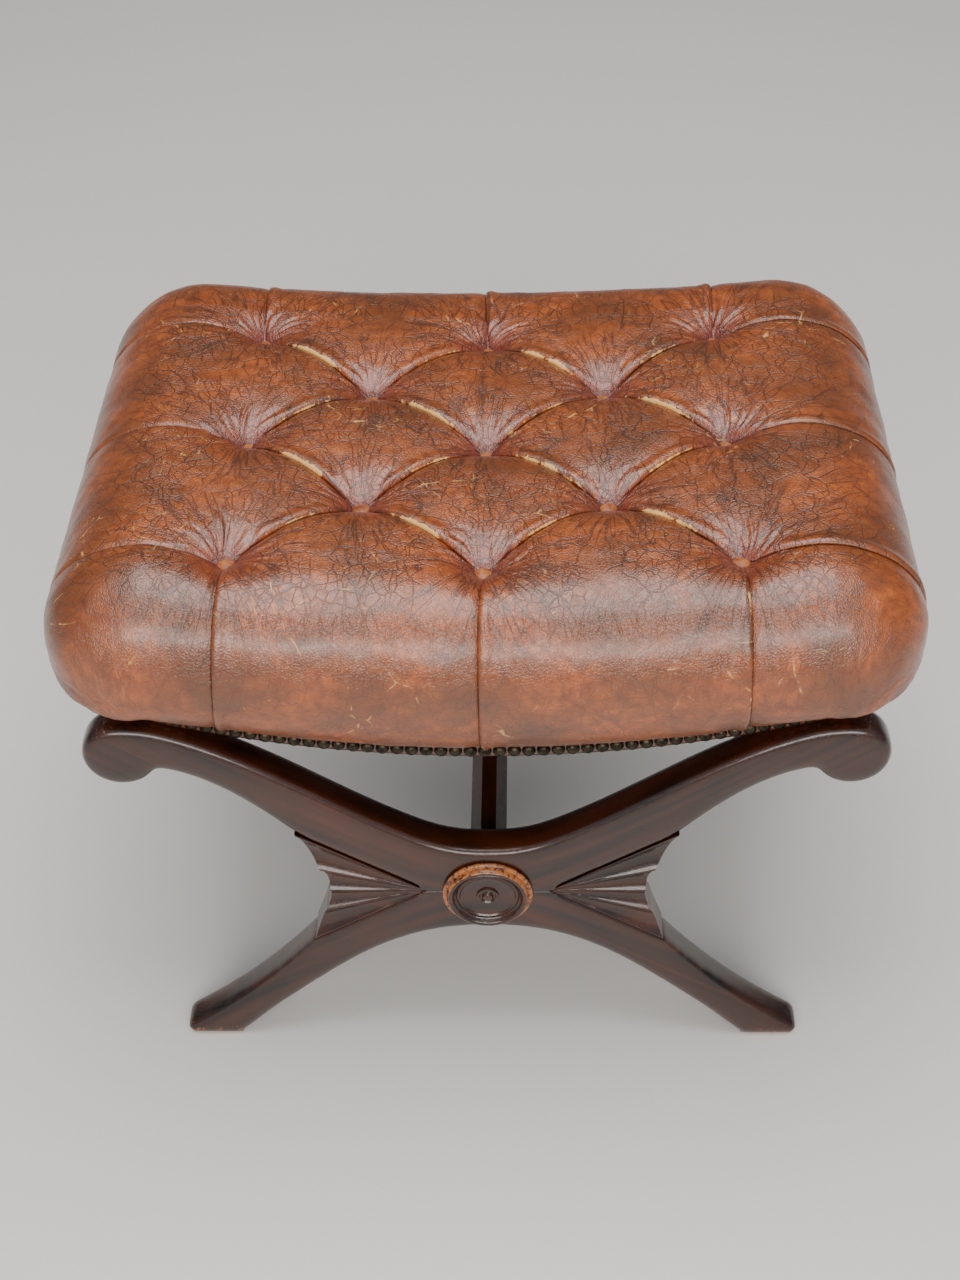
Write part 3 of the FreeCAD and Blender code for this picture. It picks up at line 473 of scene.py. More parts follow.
def make_leather(colours):
    """Aniline-dyed cowhide, aged: chestnut brown, waxed, cracked where it is sat on, raw at the folds."""
    material, shader = new_material("aged_aniline_cowhide")
    sheet = add_node(material, "ShaderNodeUVMap", uv_map="sheet").outputs["UV"]
    worn = add_node(material, "ShaderNodeAttribute", attribute_name="worn").outputs["Fac"]
    pit = add_node(material, "ShaderNodeAttribute", attribute_name="pit").outputs["Fac"]
    # gap: painted shade under the fold lips, along two creases and at the hem
    gap = add_node(material, "ShaderNodeAttribute", attribute_name="gap").outputs["Fac"]
    spoke = add_node(material, "ShaderNodeAttribute", attribute_name="spoke").outputs["Vector"]

    # the sheet's UVs are in metres, so a scale is one over the size of the pattern in metres
    blotch = add_node(material, "ShaderNodeTexNoise", {"Vector": sheet, "Scale": 1 / 0.070, "Detail": 5.0,
                                                       "Roughness": 0.6}).outputs["Fac"]
    mottle = add_node(material, "ShaderNodeTexNoise", {"Vector": sheet, "Scale": 1 / 0.009, "Detail": 6.0,
                                                       "Roughness": 0.65}).outputs["Fac"]
    tone = mixed(material, ramp(material, mottle, [(0.35, 0.0), (0.65, 1.0)]),
                 linear(colours.leather), linear(colours.leather_light))
    patina = maths(material, "MULTIPLY", ramp(material, blotch, [(0.40, 0.0), (0.62, 1.0)]),
                   ramp(material, mottle, [(0.30, 0.35), (0.60, 1.0)]))
    crown = maths(material, "SUBTRACT", 1.0, maths(material, "MULTIPLY", pit, 2.5, True), True)
    tone = mixed(material, maths(material, "MULTIPLY", patina, maths(material, "MULTIPLY", crown, 0.8)),
                 tone, linear(colours.leather_patina))
    tone = mixed(material, maths(material, "MULTIPLY", pit, 1.3, True), tone, linear(colours.leather_pit))

    # a web of fine cracks, cells 4 to 14 mm across
    bend = add_node(material, "ShaderNodeTexNoise", {"Vector": sheet, "Scale": 1 / 0.022, "Detail": 3.0})
    bent = add_node(material, "ShaderNodeVectorMath", {0: bend.outputs["Color"], "Scale": 0.009},
                    operation="SCALE").outputs[0]
    bent = add_node(material, "ShaderNodeVectorMath", {0: sheet, 1: bent}, operation="ADD").outputs[0]
    patches = add_node(material, "ShaderNodeTexNoise", {"Vector": sheet, "Scale": 1 / 0.050, "Detail": 2.0,
                                                        "W": 3.0}, noise_dimensions="4D").outputs["Fac"]
    cracks = 0.0
    for size, width, low, high in ((0.019, 0.034, 0.30, 0.42), (0.0085, 0.060, 0.39, 0.50)):
        web = add_node(material, "ShaderNodeTexVoronoi", {"Vector": bent, "Scale": 1 / size},
                       feature="DISTANCE_TO_EDGE").outputs["Distance"]
        lines = ramp(material, web, [(0.0, 1.0), (width, 0.0)])
        lines = maths(material, "MULTIPLY", lines, ramp(material, patches, [(low, 0.0), (high, 1.0)]))
        cracks = maths(material, "MAXIMUM", lines, cracks)
    cracks = maths(material, "MULTIPLY", cracks, ramp(material, mottle, [(0.36, 0.45), (0.52, 1.0)]))
    # the web is strongest where the seat is sat on, and fades down its sides
    spot = add_node(material, "ShaderNodeSeparateXYZ", {"Vector": sheet}).outputs
    beyond_x = maths(material, "SUBTRACT", maths(material, "ABSOLUTE", spot["X"]), 0.235)
    beyond_y = maths(material, "SUBTRACT", maths(material, "ABSOLUTE", spot["Y"]), 0.165)
    beyond = maths(material, "MAXIMUM", beyond_x, beyond_y)
    fade = add_node(material, "ShaderNodeMapRange", {0: beyond, 1: 0.0, 2: 0.04, 3: 1.0, 4: 0.4}).outputs[0]
    cracks = maths(material, "MULTIPLY", cracks, fade)

    # creases that run out from the buttons: spoke points away from the nearest one, halo.x is the distance
    halo = add_node(material, "ShaderNodeAttribute", attribute_name="halo").outputs["Vector"]
    halo = add_node(material, "ShaderNodeSeparateXYZ", {"Vector": halo}).outputs
    away = add_node(material, "ShaderNodeVectorMath", {0: spoke, 1: (1.0, 1.0, 0.0)},
                    operation="MULTIPLY").outputs[0]
    number = add_node(material, "ShaderNodeVectorMath", {0: spoke, 1: (0.0, 0.0, 1.0)},
                      operation="MULTIPLY").outputs[0]
    heading = add_node(material, "ShaderNodeVectorMath", {0: away}, operation="NORMALIZE").outputs[0]
    heading = add_node(material, "ShaderNodeVectorMath", {0: heading, 1: number}, operation="ADD").outputs[0]
    outwards = add_node(material, "ShaderNodeCombineXYZ",
                        {"Z": maths(material, "MULTIPLY", halo[0], 3.0)}).outputs[0]
    heading = add_node(material, "ShaderNodeVectorMath", {0: heading, 1: outwards},
                       operation="ADD").outputs[0]
    ray = add_node(material, "ShaderNodeTexNoise", {"Vector": heading, "Scale": 4.0, "Detail": 2.0,
                                                    "Roughness": 0.6}).outputs["Fac"]
    ray = maths(material, "ABSOLUTE", maths(material, "SUBTRACT", ray, 0.5))
    ray = ramp(material, ray, [(0.0, 1.0), (0.034, 0.0)])
    reach = maths(material, "MULTIPLY", halo[0], 10.0)
    rays = maths(material, "MULTIPLY", ray, ramp(material, reach, [(0.08, 0.0), (0.18, 0.9), (0.60, 0.7),
                                                                   (1.0, 0.0)]))
    rays = maths(material, "MULTIPLY", rays, halo[1])
    pucker = add_node(material, "ShaderNodeTexNoise",
                      {"Vector": heading, "Scale": 10.0, "Detail": 1.0}).outputs["Fac"]
    pucker = maths(material, "MULTIPLY", pucker, ramp(material, reach, [(0.06, 0.3), (0.15, 1.0),
                                                                        (0.30, 0.6), (0.6, 0.0)]))
    pucker = maths(material, "MULTIPLY", pucker, halo[1])
    cracks = maths(material, "MAXIMUM", cracks, rays)
    tone = mixed(material, maths(material, "MULTIPLY", cracks, 0.85), tone, linear(colours.crack_dirt_and_shade))
    # painted shade from the gap mask, in the dark crack colour
    tone = mixed(material, maths(material, "MULTIPLY", gap, 0.75, True), tone, linear(colours.crack_dirt_and_shade))

    # raw hide on worn fold edges, and a few pale scratches
    chips = add_node(material, "ShaderNodeTexNoise", {"Vector": sheet, "Scale": 1 / 0.0045, "Detail": 5.0,
                                                      "Roughness": 0.7}).outputs["Fac"]
    raw = maths(material, "ADD", worn, maths(material, "MULTIPLY", maths(material, "SUBTRACT", chips, 0.5),
                                             1.1))
    raw = ramp(material, raw, [(0.52, 0.0), (0.62, 1.0)])
    strokes = add_node(material, "ShaderNodeTexVoronoi", {"Vector": bent, "Scale": 1 / 0.034},
                       feature="DISTANCE_TO_EDGE").outputs["Distance"]
    strokes = maths(material, "MULTIPLY", ramp(material, strokes, [(0.0, 1.0), (0.016, 0.0)]),
                    ramp(material, mottle, [(0.50, 0.0), (0.58, 0.9)]))
    strokes = maths(material, "MULTIPLY", strokes, ramp(material, patches, [(0.53, 0.0), (0.60, 1.0)]))
    raw = maths(material, "MAXIMUM", raw, strokes)
    tone = mixed(material, raw, tone, linear(colours.leather_raw))
    feed(material, tone, shader.inputs["Base Color"])

    # pebble grain about 1.8 mm across
    pebble = add_node(material, "ShaderNodeTexVoronoi", {"Vector": bent, "Scale": 1 / 0.0018},
                      feature="DISTANCE_TO_EDGE").outputs["Distance"]
    pebble = ramp(material, pebble, [(0.0, 0.0), (0.35, 1.0)])
    crease = add_node(material, "ShaderNodeTexNoise", {"Vector": sheet, "Scale": 1 / 0.004, "Detail": 6.0,
                                                       "Roughness": 0.65}).outputs["Fac"]
    relief = maths(material, "ADD", maths(material, "MULTIPLY", pebble, 0.55),
                   maths(material, "MULTIPLY", crease, 0.7))
    relief = maths(material, "SUBTRACT", relief, maths(material, "MULTIPLY", cracks, 0.9))
    relief = maths(material, "ADD", relief, maths(material, "MULTIPLY", pucker, 1.8))
    bump = add_node(material, "ShaderNodeBump", {"Height": relief, "Strength": 0.6, "Distance": 0.0006})
    feed(material, bump.outputs["Normal"], shader.inputs["Normal"])
    rough = add_node(material, "ShaderNodeMapRange", {0: mottle, 3: 0.27, 4: 0.40}).outputs[0]
    rough = maths(material, "ADD", rough, maths(material, "MULTIPLY", raw, 0.3))
    feed(material, rough, shader.inputs["Roughness"])
    shader.inputs["Specular IOR Level"].default_value = 0.75
    shader.inputs["Coat Weight"].default_value = 0.5
    shader.inputs["Coat Roughness"].default_value = 0.24
    return material


class FOOTSTOOL_OT_leather_seat(bpy.types.Operator):
    """Build the buttoned leather cover over its stuffing"""

    bl_idname = "footstool.leather_seat"
    bl_label = "Leather Seat"

    def execute(self, context):
        seat = Seat(context.scene.footstool_upholstery)
        bm = bmesh.new()
        bmesh.ops.create_grid(bm, x_segments=2 * seat.count_x, y_segments=2 * seat.count_y, size=1.0)
        flat = np.array([vert.co[:2] for vert in bm.verts])
        flat *= np.array([seat.count_x * seat.step_x, seat.count_y * seat.step_y])
        x, y = seat.crowd(flat[:, 0], flat[:, 1])
        place, looks = seat.shape(x, y)
        for vert, spot in zip(bm.verts, place):
            vert.co = Vector(spot) * MM
        hem = [edge for edge in bm.edges if edge.is_boundary]
        turned = bmesh.ops.extrude_edge_only(bm, edges=hem)["geom"]
        inner = [item for item in turned if isinstance(item, bmesh.types.BMVert)]
        for vert in inner:
            vert.co.x *= 1 - 2.4 * MM / abs(seat.skirt_x * MM)
            vert.co.y *= 1 - 2.4 * MM / abs(seat.skirt_y * MM)
        bmesh.ops.recalc_face_normals(bm, faces=bm.faces)
        material = make_leather(context.scene.footstool_colours)
        piece = finish_piece("seat_leather", bm, material)
        store_sheet(piece.data, x, y, looks)
        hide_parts("leather_cover", "foam_pad")
        return {"FINISHED"}


def store_sheet(mesh, x, y, looks):
    """Keep the sheet's own coordinates as a UV map in metres, and what the leather's look depends on."""
    extra = len(mesh.vertices) - len(x)
    for name, values in looks.items():
        padding = np.zeros((extra,) + values.shape[1:])
        kind, field = ("FLOAT", "value") if values.ndim == 1 else ("FLOAT_VECTOR", "vector")
        layer = mesh.attributes.new(name, kind, "POINT")
        layer.data.foreach_set(field, np.concatenate([values, padding]).ravel())
    layer = mesh.uv_layers.new(name="sheet")
    places = np.concatenate([np.stack([x, y], axis=1), np.zeros((extra, 2))]) * MM
    loops = np.zeros(len(mesh.loops), dtype=np.int32)
    mesh.loops.foreach_get("vertex_index", loops)
    layer.data.foreach_set("uv", places[loops].ravel())


class FOOTSTOOL_OT_buttons(bpy.types.Operator):
    """Build the thirteen leather-covered buttons"""

    bl_idname = "footstool.buttons"
    bl_label = "Covered Buttons"

    def execute(self, context):
        bm = bmesh.new()
        for low, high in islands("seat_buttons"):
            centre = (low + high) / 2
            made = bmesh.ops.create_uvsphere(bm, u_segments=28, v_segments=14, radius=1.0)["verts"]
            size = Vector((high.x - low.x, high.y - low.y, 0)) / 2
            height = high.z - low.z
            sunk = BUTTON_SINK * MM if centre.y > -0.03 else 0.0
            for vert in made:
                rise = vert.co.z
                vert.co.x *= size.x * 1.02
                vert.co.y *= size.y * 1.02
                vert.co.z = low.z - sunk + height * (0.42 + 0.58 * rise if rise > 0 else 0.42 * (1 + rise))
                vert.co.x += centre.x
                vert.co.y += centre.y
        piece = finish_piece("covered_buttons", bm, make_button_leather(context.scene.footstool_colours))
        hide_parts("seat_buttons")
        return {"FINISHED"}


def make_button_leather(colours):
    """The same hide stretched over the button moulds, rubbed paler on top."""
    material, shader = new_material("button_cowhide")
    place = add_node(material, "ShaderNodeTexCoord").outputs["Object"]
    mottle = add_node(material, "ShaderNodeTexNoise", {"Vector": place, "Scale": 1 / 0.006, "Detail": 6.0,
                                                       "Roughness": 0.7}).outputs["Fac"]
    tone = mixed(material, ramp(material, mottle, [(0.35, 0.0), (0.65, 1.0)]),
                 linear(colours.leather), linear("B87040"))
    feed(material, tone, shader.inputs["Base Color"])
    grain = add_node(material, "ShaderNodeTexNoise", {"Vector": place, "Scale": 1 / 0.0008, "Detail": 4.0})
    bump = add_node(material, "ShaderNodeBump", {"Height": grain.outputs["Fac"], "Strength": 0.4,
                                                 "Distance": 0.0003})
    feed(material, bump.outputs["Normal"], shader.inputs["Normal"])
    shader.inputs["Roughness"].default_value = 0.45
    return material


# ---------------------------------------------------------------- woodwork

def make_mahogany(colours):
    """French-polished mahogany: dark red-brown, streaked along the grain, glossy shellac rubbed through."""
    material, shader = new_material("french_polished_mahogany")
    grain = add_node(material, "ShaderNodeAttribute", attribute_name="grain").outputs["Vector"]
    stretched = add_node(material, "ShaderNodeMapping",
                         {"Vector": grain, "Scale": (6.0, 90.0, 60.0)}).outputs["Vector"]
    streak = add_node(material, "ShaderNodeTexNoise", {"Vector": stretched, "Scale": 1.0, "Detail": 6.0,
                                                       "Roughness": 0.6, "Distortion": 0.4}).outputs["Fac"]
    cloud = add_node(material, "ShaderNodeTexNoise",
                     {"Vector": grain, "Scale": 1 / 0.050, "Detail": 3.0}).outputs["Fac"]
    streak = maths(material, "ADD", maths(material, "MULTIPLY", streak, 0.7),
                   maths(material, "MULTIPLY", cloud, 0.3))
    tone = mixed(material, ramp(material, streak, [(0.38, 0.0), (0.66, 1.0)]),
                 linear(colours.wood_dark), linear(colours.wood_light))
    pores = add_node(material, "ShaderNodeMapping",
                     {"Vector": grain, "Scale": (250.0, 2500.0, 2500.0)}).outputs["Vector"]
    pores = add_node(material, "ShaderNodeTexNoise",
                     {"Vector": pores, "Scale": 1.0, "Detail": 2.0}).outputs["Fac"]
    pores = ramp(material, pores, [(0.30, 1.0), (0.42, 0.0)])
    tone = mixed(material, maths(material, "MULTIPLY", pores, 0.5), tone, linear("0C0402"))
    rub = add_node(material, "ShaderNodeAttribute", attribute_name="rub").outputs["Fac"]
    chips = add_node(material, "ShaderNodeTexNoise", {"Vector": grain, "Scale": 1 / 0.004, "Detail": 6.0,
                                                      "Roughness": 0.75}).outputs["Fac"]
    bare = maths(material, "ADD", rub, maths(material, "MULTIPLY", maths(material, "SUBTRACT", chips, 0.5),
                                             1.3))
    bare = ramp(material, bare, [(0.52, 0.0), (0.66, 1.0)])
    tone = mixed(material, bare, tone, linear(colours.wood_rubbed))
    feed(material, tone, shader.inputs["Base Color"])
    rough = add_node(material, "ShaderNodeMapRange", {0: cloud, 3: 0.16, 4: 0.30}).outputs[0]
    feed(material, maths(material, "ADD", rough, maths(material, "MULTIPLY", bare, 0.25)),
         shader.inputs["Roughness"])
    bump = add_node(material, "ShaderNodeBump", {"Height": maths(material, "SUBTRACT", streak,
                                                                 maths(material, "MULTIPLY", pores, 0.4)),
                                                 "Strength": 0.25, "Distance": 0.0006})
    feed(material, bump.outputs["Normal"], shader.inputs["Normal"])
    shader.inputs["Coat Weight"].default_value = 0.4
    shader.inputs["Coat Roughness"].default_value = 0.16
    return material


def arm_grain(sign):
    """Grain coordinates that follow the bend of an upper (1) or lower (-1) arch."""
    def at(co):
        bend = sqrt(co.x ** 2 + 0.05 ** 2) - 0.05
        return (co.x, co.z - sign * 0.72 * bend, co.y)
    return at


def straight_grain(co):
    return (co.y, co.z, co.x)


def facing_grain(co):
    return (co.x, co.z, co.y)


def rounded_arch(node, material, joint, grain):
    """An arch whose edges are softened by the spokeshave and by polishing, except at its glued joint."""
    bm = merged_mesh(node)
    piece = finish_piece(node + "_polished", bm, material)
    even = piece.modifiers.new("even", "REMESH")
    even.mode = "VOXEL"
    even.voxel_size = GRID
    even.use_smooth_shade = True
    graph = bpy.context.evaluated_depsgraph_get()
    settled = bpy.data.meshes.new_from_object(piece.evaluated_get(graph))
    piece.modifiers.clear()
    bm = bmesh.new()
    bm.from_mesh(settled)
    free = [vert for vert in bm.verts if abs(vert.co.z - joint) > 3 * MM and vert.co.z > 0.8 * MM]
    for _ in range(SOFTENING):
        bmesh.ops.smooth_vert(bm, verts=free, factor=0.5, use_axis_x=True, use_axis_y=True, use_axis_z=True)
    bm.to_mesh(settled)
    bm.free()
    for face in settled.polygons:
        face.use_smooth = True
    settled.materials.clear()
    settled.materials.append(material)
    piece.data = settled
    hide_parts(node)
    store_wood(piece.data, grain)
    return piece


def store_wood(mesh, grain):
    """Keep grain coordinates in metres, and how much the polish is rubbed away, at each point."""
    lay = []
    rub = []
    for vert in mesh.vertices:
        place = vert.co
        lay.extend(grain(place))
        toe = max(0.0, 1 - place.z / (TOE_REACH * MM))
        from_scroll = Vector((abs(place.x), place.z)) - Vector(SCROLL_CENTRE) * MM
        scroll = max(0.0, 1 - from_scroll.length / (SCROLL_REACH * MM))
        edge = 0.28 if 0.15 < abs(vert.normal.z) < 0.9 else 0.0
        rub.append(max(0.60 * toe, 0.46 * scroll, edge))
    mesh.attributes.new("grain", "FLOAT_VECTOR", "POINT").data.foreach_set("vector", lay)
    mesh.attributes.new("rub", "FLOAT", "POINT").data.foreach_set("value", rub)


class FOOTSTOOL_OT_woodwork(bpy.types.Operator):
    """Polish the X-frames and the stretcher"""

    bl_idname = "footstool.woodwork"
    bl_label = "Woodwork"

    def execute(self, context):
        mahogany = make_mahogany(context.scene.footstool_colours)
        for side in ("front", "back"):
            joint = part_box(side + "_upper_arch")[0].z
            rounded_arch(side + "_upper_arch", mahogany, joint, arm_grain(1))
            rounded_arch(side + "_lower_arch", mahogany, joint, arm_grain(-1))
            for hand in ("left", "right"):
                merged_copy(side + "_fan_" + hand, mahogany, 40.0, facing_grain)
            roundel = merged_copy(side + "_roundel", mahogany, 50.0, facing_grain)
            low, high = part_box(side + "_roundel")
            centre, radius = (low + high) / 2, (high.z - low.z) / 2
            rims = [(vert.co - centre).xz.length / radius for vert in roundel.data.vertices]
            rub = [0.62 if rim > 0.84 or 0.26 < rim < 0.40 else 0.0 for rim in rims]
            roundel.data.attributes["rub"].data.foreach_set("value", rub)
        merged_copy("stretcher", mahogany, 30.0, straight_grain)
        return {"FINISHED"}


# ---------------------------------------------------------------- studs and hidden parts

def make_bronze(colours):
    """Pressed brass stud heads with a dark antique bronze lacquer."""
    material, shader = new_material("antiqued_bronze_lacquer")
    place = add_node(material, "ShaderNodeTexCoord").outputs["Object"]
    tarnish = add_node(material, "ShaderNodeTexNoise", {"Vector": place, "Scale": 1 / 0.005, "Detail": 5.0,
                                                        "Roughness": 0.7}).outputs["Fac"]
    tone = mixed(material, ramp(material, tarnish, [(0.4, 0.0), (0.65, 1.0)]), linear("1E1A14"),
                 linear(colours.stud))
    feed(material, tone, shader.inputs["Base Color"])
    shader.inputs["Metallic"].default_value = 0.85
    rough = add_node(material, "ShaderNodeMapRange", {0: tarnish, 3: 0.28, 4: 0.5}).outputs[0]
    feed(material, rough, shader.inputs["Roughness"])
    return material


class FOOTSTOOL_OT_stud_nails(bpy.types.Operator):
    """Build the domed heads of the stud nails"""

    bl_idname = "footstool.stud_nails"
    bl_label = "Stud Nails"

    def execute(self, context):
        bronze = make_bronze(context.scene.footstool_colours)
        directions = {"front": Vector((0, -1, 0)), "back": Vector((0, 1, 0)),
                      "left": Vector((-1, 0, 0)), "right": Vector((1, 0, 0))}
        for side, outwards in directions.items():
            node = "stud_nails_" + side
            bm = bmesh.new()
            for index, (low, high) in enumerate(islands(node)):
                centre = (low + high) / 2
                radius = (high.z - low.z) / 2
                face = centre - outwards * centre.dot(outwards)
                top = max(low.dot(outwards), high.dot(outwards))
                self.add_stud(bm, face + outwards * (top - 3.4 * MM), outwards, radius, index)
            piece = finish_piece(node + "_domed", bm, bronze)
            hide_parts(node)
        return {"FINISHED"}

    def add_stud(self, bm, base, outwards, radius, index):
        """A shallow dome of a few dozen faces, a little askew."""
        tilt = Vector((sin(index * 2.3) * 0.09, cos(index * 3.1) * 0.09, 1)).normalized()
        turn = outwards.to_track_quat("Z", "Y").to_matrix() @ tilt.to_track_quat("Z", "Y").to_matrix()
        for vert in bmesh.ops.create_uvsphere(bm, u_segments=12, v_segments=6, radius=1.0)["verts"]:
            rise = vert.co.z * (3.6 if vert.co.z > 0 else 1.2) * MM
            vert.co = base + turn @ Vector((vert.co.x * radius, vert.co.y * radius, rise))


def make_plain(name, dark, light, scale, roughness, metallic=0.0, stretch=(1, 1, 1)):
    """A simple two-tone procedural finish for parts that are mostly hidden."""
    material, shader = new_material(name)
    place = add_node(material, "ShaderNodeTexCoord").outputs["Object"]
    place = add_node(material, "ShaderNodeMapping", {"Vector": place, "Scale": stretch}).outputs["Vector"]
    pattern = add_node(material, "ShaderNodeTexNoise",
                       {"Vector": place, "Scale": 1 / (scale * MM), "Detail": 4.0})
    tone = mixed(material, pattern.outputs["Fac"], linear(dark), linear(light))
    feed(material, tone, shader.inputs["Base Color"])
    bump = add_node(material, "ShaderNodeBump", {"Height": pattern.outputs["Fac"], "Strength": 0.3,
                                                 "Distance": 0.0004})
    feed(material, bump.outputs["Normal"], shader.inputs["Normal"])
    shader.inputs["Roughness"].default_value = roughness
    shader.inputs["Metallic"].default_value = metallic
    return material


def make_weave(name, dark, light, thread, roughness=0.9):
    """A plain weave whose threads lie along X and Y. thread is their spacing in mm."""
    material, shader = new_material(name)
    place = add_node(material, "ShaderNodeTexCoord").outputs["Object"]
    turns = pi / (thread * MM)
    waves = []
    for axis in ("X", "Y"):
        part = add_node(material, "ShaderNodeSeparateXYZ", {"Vector": place}).outputs[axis]
        wave = maths(material, "SINE", maths(material, "MULTIPLY", part, turns))
        waves.append(maths(material, "ABSOLUTE", wave))
    cloth = maths(material, "MULTIPLY", waves[0], waves[1])
    slub = add_node(material, "ShaderNodeTexNoise",
                    {"Vector": place, "Scale": 1 / 0.003, "Detail": 3.0}).outputs["Fac"]
    cloth = maths(material, "MULTIPLY", cloth, maths(material, "ADD", slub, 0.5))
    feed(material, mixed(material, cloth, linear(dark), linear(light)), shader.inputs["Base Color"])
    bump = add_node(material, "ShaderNodeBump", {"Height": cloth, "Strength": 0.6, "Distance": 0.0004})
    feed(material, bump.outputs["Normal"], shader.inputs["Normal"])
    shader.inputs["Roughness"].default_value = roughness
    return material


class FOOTSTOOL_OT_seat_frame(bpy.types.Operator):
    """Give the rails, fixings, webbing and dust cover their materials"""

    bl_idname = "footstool.seat_frame"
    bl_label = "Seat Frame and Webbing"

    def execute(self, context):
        beech = make_plain("planed_beech", "8A5A34", "B88A5A", 4.0, 0.6, stretch=(0.1, 1, 1))
        # the rails' lower edge shows under the studs, and is stained to go with the mahogany
        stained = make_plain("dark_stained_beech", "1E0C05", "3A1A0B", 4.0, 0.5, stretch=(0.1, 1, 1))
        steel = make_plain("bright_steel", "6C6C70", "9A9A9E", 2.0, 0.35, 1.0)
        blued = make_plain("blued_steel", "14171E", "2A303C", 2.0, 0.4, 1.0)
        jute = make_weave("jute_webbing", "5C4526", "A08458", 2.0)
        hessian = make_weave("jute_hessian", "6A5232", "B4956A", 1.4)
        linen = make_plain("waxed_linen_twine", "8A7A5A", "C4B48C", 0.6, 0.7)
        felt = make_plain("wool_felt", "3A3430", "5C544C", 1.0, 0.95)
        cambric = make_weave("black_cambric", "08080A", "1C1C20", 0.6)
        looks = {
            "front_dowels": beech, "back_dowels": beech, "rail_dowels": beech, "corner_blocks": beech,
            "seat_rail_front": stained, "seat_rail_back": stained,
            "seat_rail_left": stained, "seat_rail_right": stained,
            "stretcher_screws": steel, "seat_screws": steel, "corner_block_screws": steel,
            "webbing_tacks": blued, "dust_cover_tacks": blued,
            "webbing_lengthwise": jute, "webbing_crosswise": jute,
            "button_twine": linen, "button_washers": felt,
        }
        for node, material in looks.items():
            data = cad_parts[node].data
            data.materials.clear()
            data.materials.append(material)
        cloth_copy("hessian", "stuffing_hessian", hessian)
        cloth_copy("dust_cover", "dust_cover_cambric", cambric)
        return {"FINISHED"}


# ---------------------------------------------------------------- stage

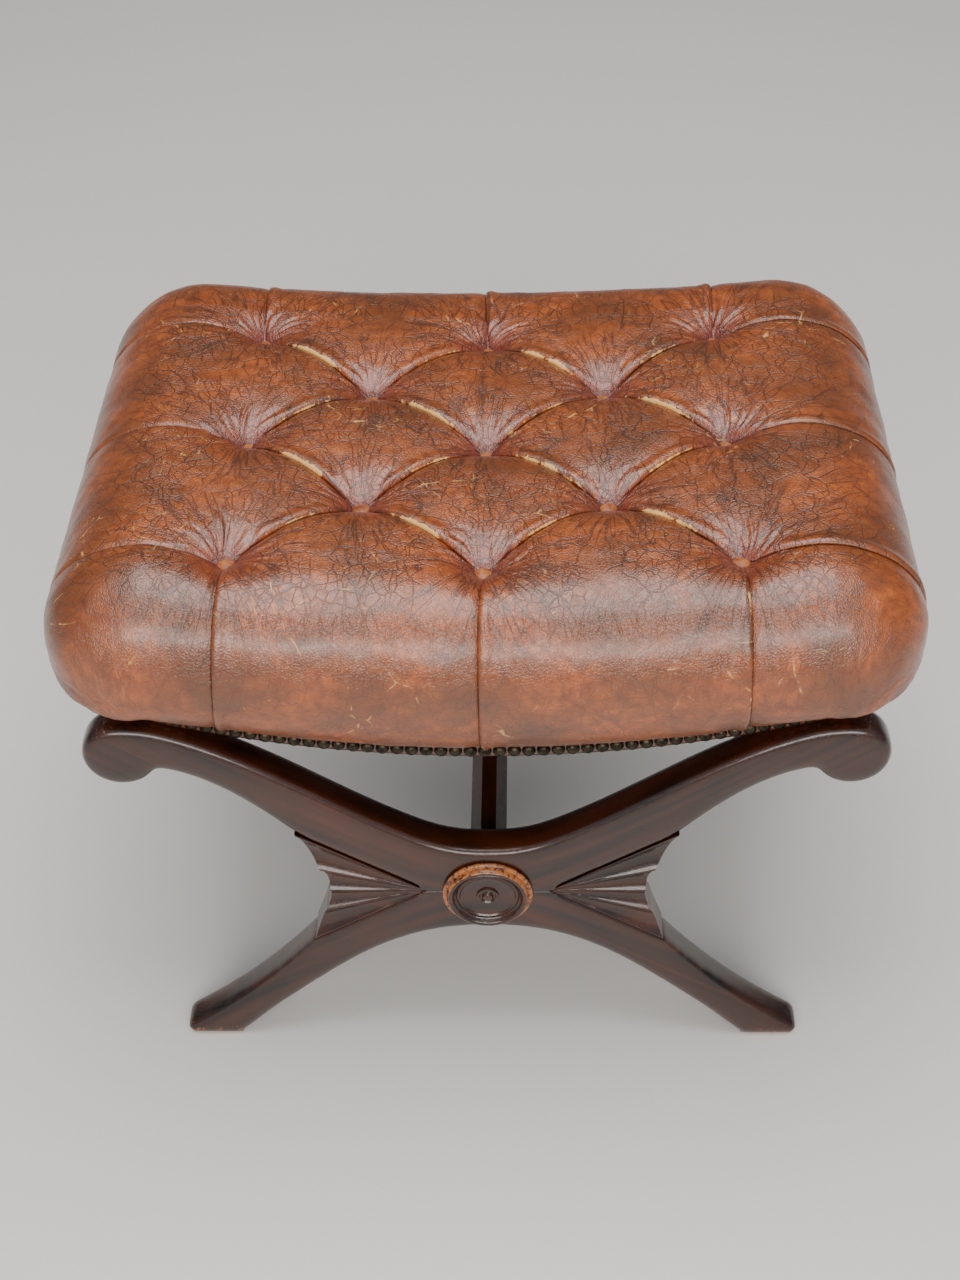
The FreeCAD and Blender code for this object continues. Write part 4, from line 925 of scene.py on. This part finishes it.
class FOOTSTOOL_OT_stage(bpy.types.Operator):
    """Set the floor, the lights and the camera"""

    bl_idname = "footstool.stage"
    bl_label = "Stage"

    def execute(self, context):
        scene = context.scene
        bm = bmesh.new()
        bmesh.ops.create_grid(bm, x_segments=1, y_segments=1, size=20.0)
        mesh = bpy.data.meshes.new("studio_floor")
        bm.to_mesh(mesh)
        bm.free()
        floor = bpy.data.objects.new("studio_floor", mesh)
        scene.collection.objects.link(floor)
        floor_material, shader = new_material("matt_studio_floor")
        shader.inputs["Base Color"].default_value = linear(scene.footstool_colours.floor)
        shader.inputs["Roughness"].default_value = 0.85
        mesh.materials.append(floor_material)
        self.add_sky(scene)
        self.add_light("overhead_softbox", (0.0, 0.0, 2.4), (0, 0, 0.3), (1.6, 1.6), 46.0, (1.0, 0.99, 0.97))
        self.add_light("front_softbox", (0.0, -2.6, 1.75), (0, 0, 0.4), (3.0, 0.9), 74.0, (1.0, 0.94, 0.88))
        self.add_camera(scene)
        return {"FINISHED"}

    def add_sky(self, scene):
        """Overcast light, brightest high up in front of the stool."""
        world = bpy.data.worlds.new("overcast")
        world.use_nodes = True
        direction = add_node(world, "ShaderNodeTexCoord").outputs["Generated"]
        height = add_node(world, "ShaderNodeVectorMath", {0: direction, 1: (0.0, -0.62, 0.78)},
                          operation="DOT_PRODUCT").outputs["Value"]
        strength = add_node(world, "ShaderNodeMapRange",
                            {0: height, 1: -0.1, 2: 0.7, 3: 0.12, 4: 0.66}).outputs[0]
        background = world.node_tree.nodes["Background"]
        background.inputs["Color"].default_value = (0.93, 0.95, 1.0, 1.0)
        world.node_tree.links.new(strength, background.inputs["Strength"])
        scene.world = world

    def add_light(self, name, place, target, size, power, colour):
        data = bpy.data.lights.new(name, "AREA")
        data.shape = "RECTANGLE"
        data.size, data.size_y = size
        data.energy = power
        data.color = colour
        light = bpy.data.objects.new(name, data)
        light.location = place
        light.rotation_euler = (Vector(target) - Vector(place)).to_track_quat("-Z", "Y").to_euler()
        bpy.context.scene.collection.objects.link(light)

    def add_camera(self, scene):
        settings = scene.footstool_camera
        pitch, yaw, roll = radians(settings.pitch), radians(-settings.yaw), radians(-settings.roll)
        forward = Vector((sin(yaw) * cos(pitch), cos(yaw) * cos(pitch), -sin(pitch)))
        right = Vector((cos(yaw), -sin(yaw), 0))
        up = right.cross(forward)
        tilted_right = cos(roll) * right + sin(roll) * up
        tilted_up = cos(roll) * up - sin(roll) * right
        data = bpy.data.cameras.new("camera")
        data.lens = settings.lens
        data.sensor_width = 36.0
        camera = bpy.data.objects.new("camera", data)
        axes = Matrix((tilted_right, tilted_up, -forward)).transposed().to_4x4()
        camera.matrix_world = Matrix.Translation(Vector(settings.place)) @ axes
        scene.collection.objects.link(camera)
        scene.camera = camera


class FOOTSTOOL_PT_sidebar(bpy.types.Panel):
    bl_label = "Footstool"
    bl_idname = "FOOTSTOOL_PT_sidebar"
    bl_space_type = "VIEW_3D"
    bl_region_type = "UI"
    bl_category = "Footstool"

    def draw(self, context):
        for operator in OPERATORS:
            self.layout.operator(operator.bl_idname)


SETTINGS = {
    "footstool_upholstery": FootstoolUpholstery,
    "footstool_colours": FootstoolColours,
    "footstool_camera": FootstoolCamera,
}
OPERATORS = (
    FOOTSTOOL_OT_stage,
    FOOTSTOOL_OT_leather_seat,
    FOOTSTOOL_OT_buttons,
    FOOTSTOOL_OT_woodwork,
    FOOTSTOOL_OT_stud_nails,
    FOOTSTOOL_OT_seat_frame,
)
CLASSES = tuple(SETTINGS.values()) + OPERATORS + (FOOTSTOOL_PT_sidebar,)


def register():
    for cls in CLASSES:
        bpy.utils.register_class(cls)
    for name, cls in SETTINGS.items():
        setattr(bpy.types.Scene, name, PointerProperty(type=cls))


def unregister():
    for name in SETTINGS:
        delattr(bpy.types.Scene, name)
    for cls in reversed(CLASSES):
        bpy.utils.unregister_class(cls)


def main():
    register()
    bpy.ops.footstool.stage()
    bpy.ops.footstool.leather_seat()
    bpy.ops.footstool.buttons()
    bpy.ops.footstool.woodwork()
    bpy.ops.footstool.stud_nails()
    bpy.ops.footstool.seat_frame()


if __name__ == "__main__":
    main()
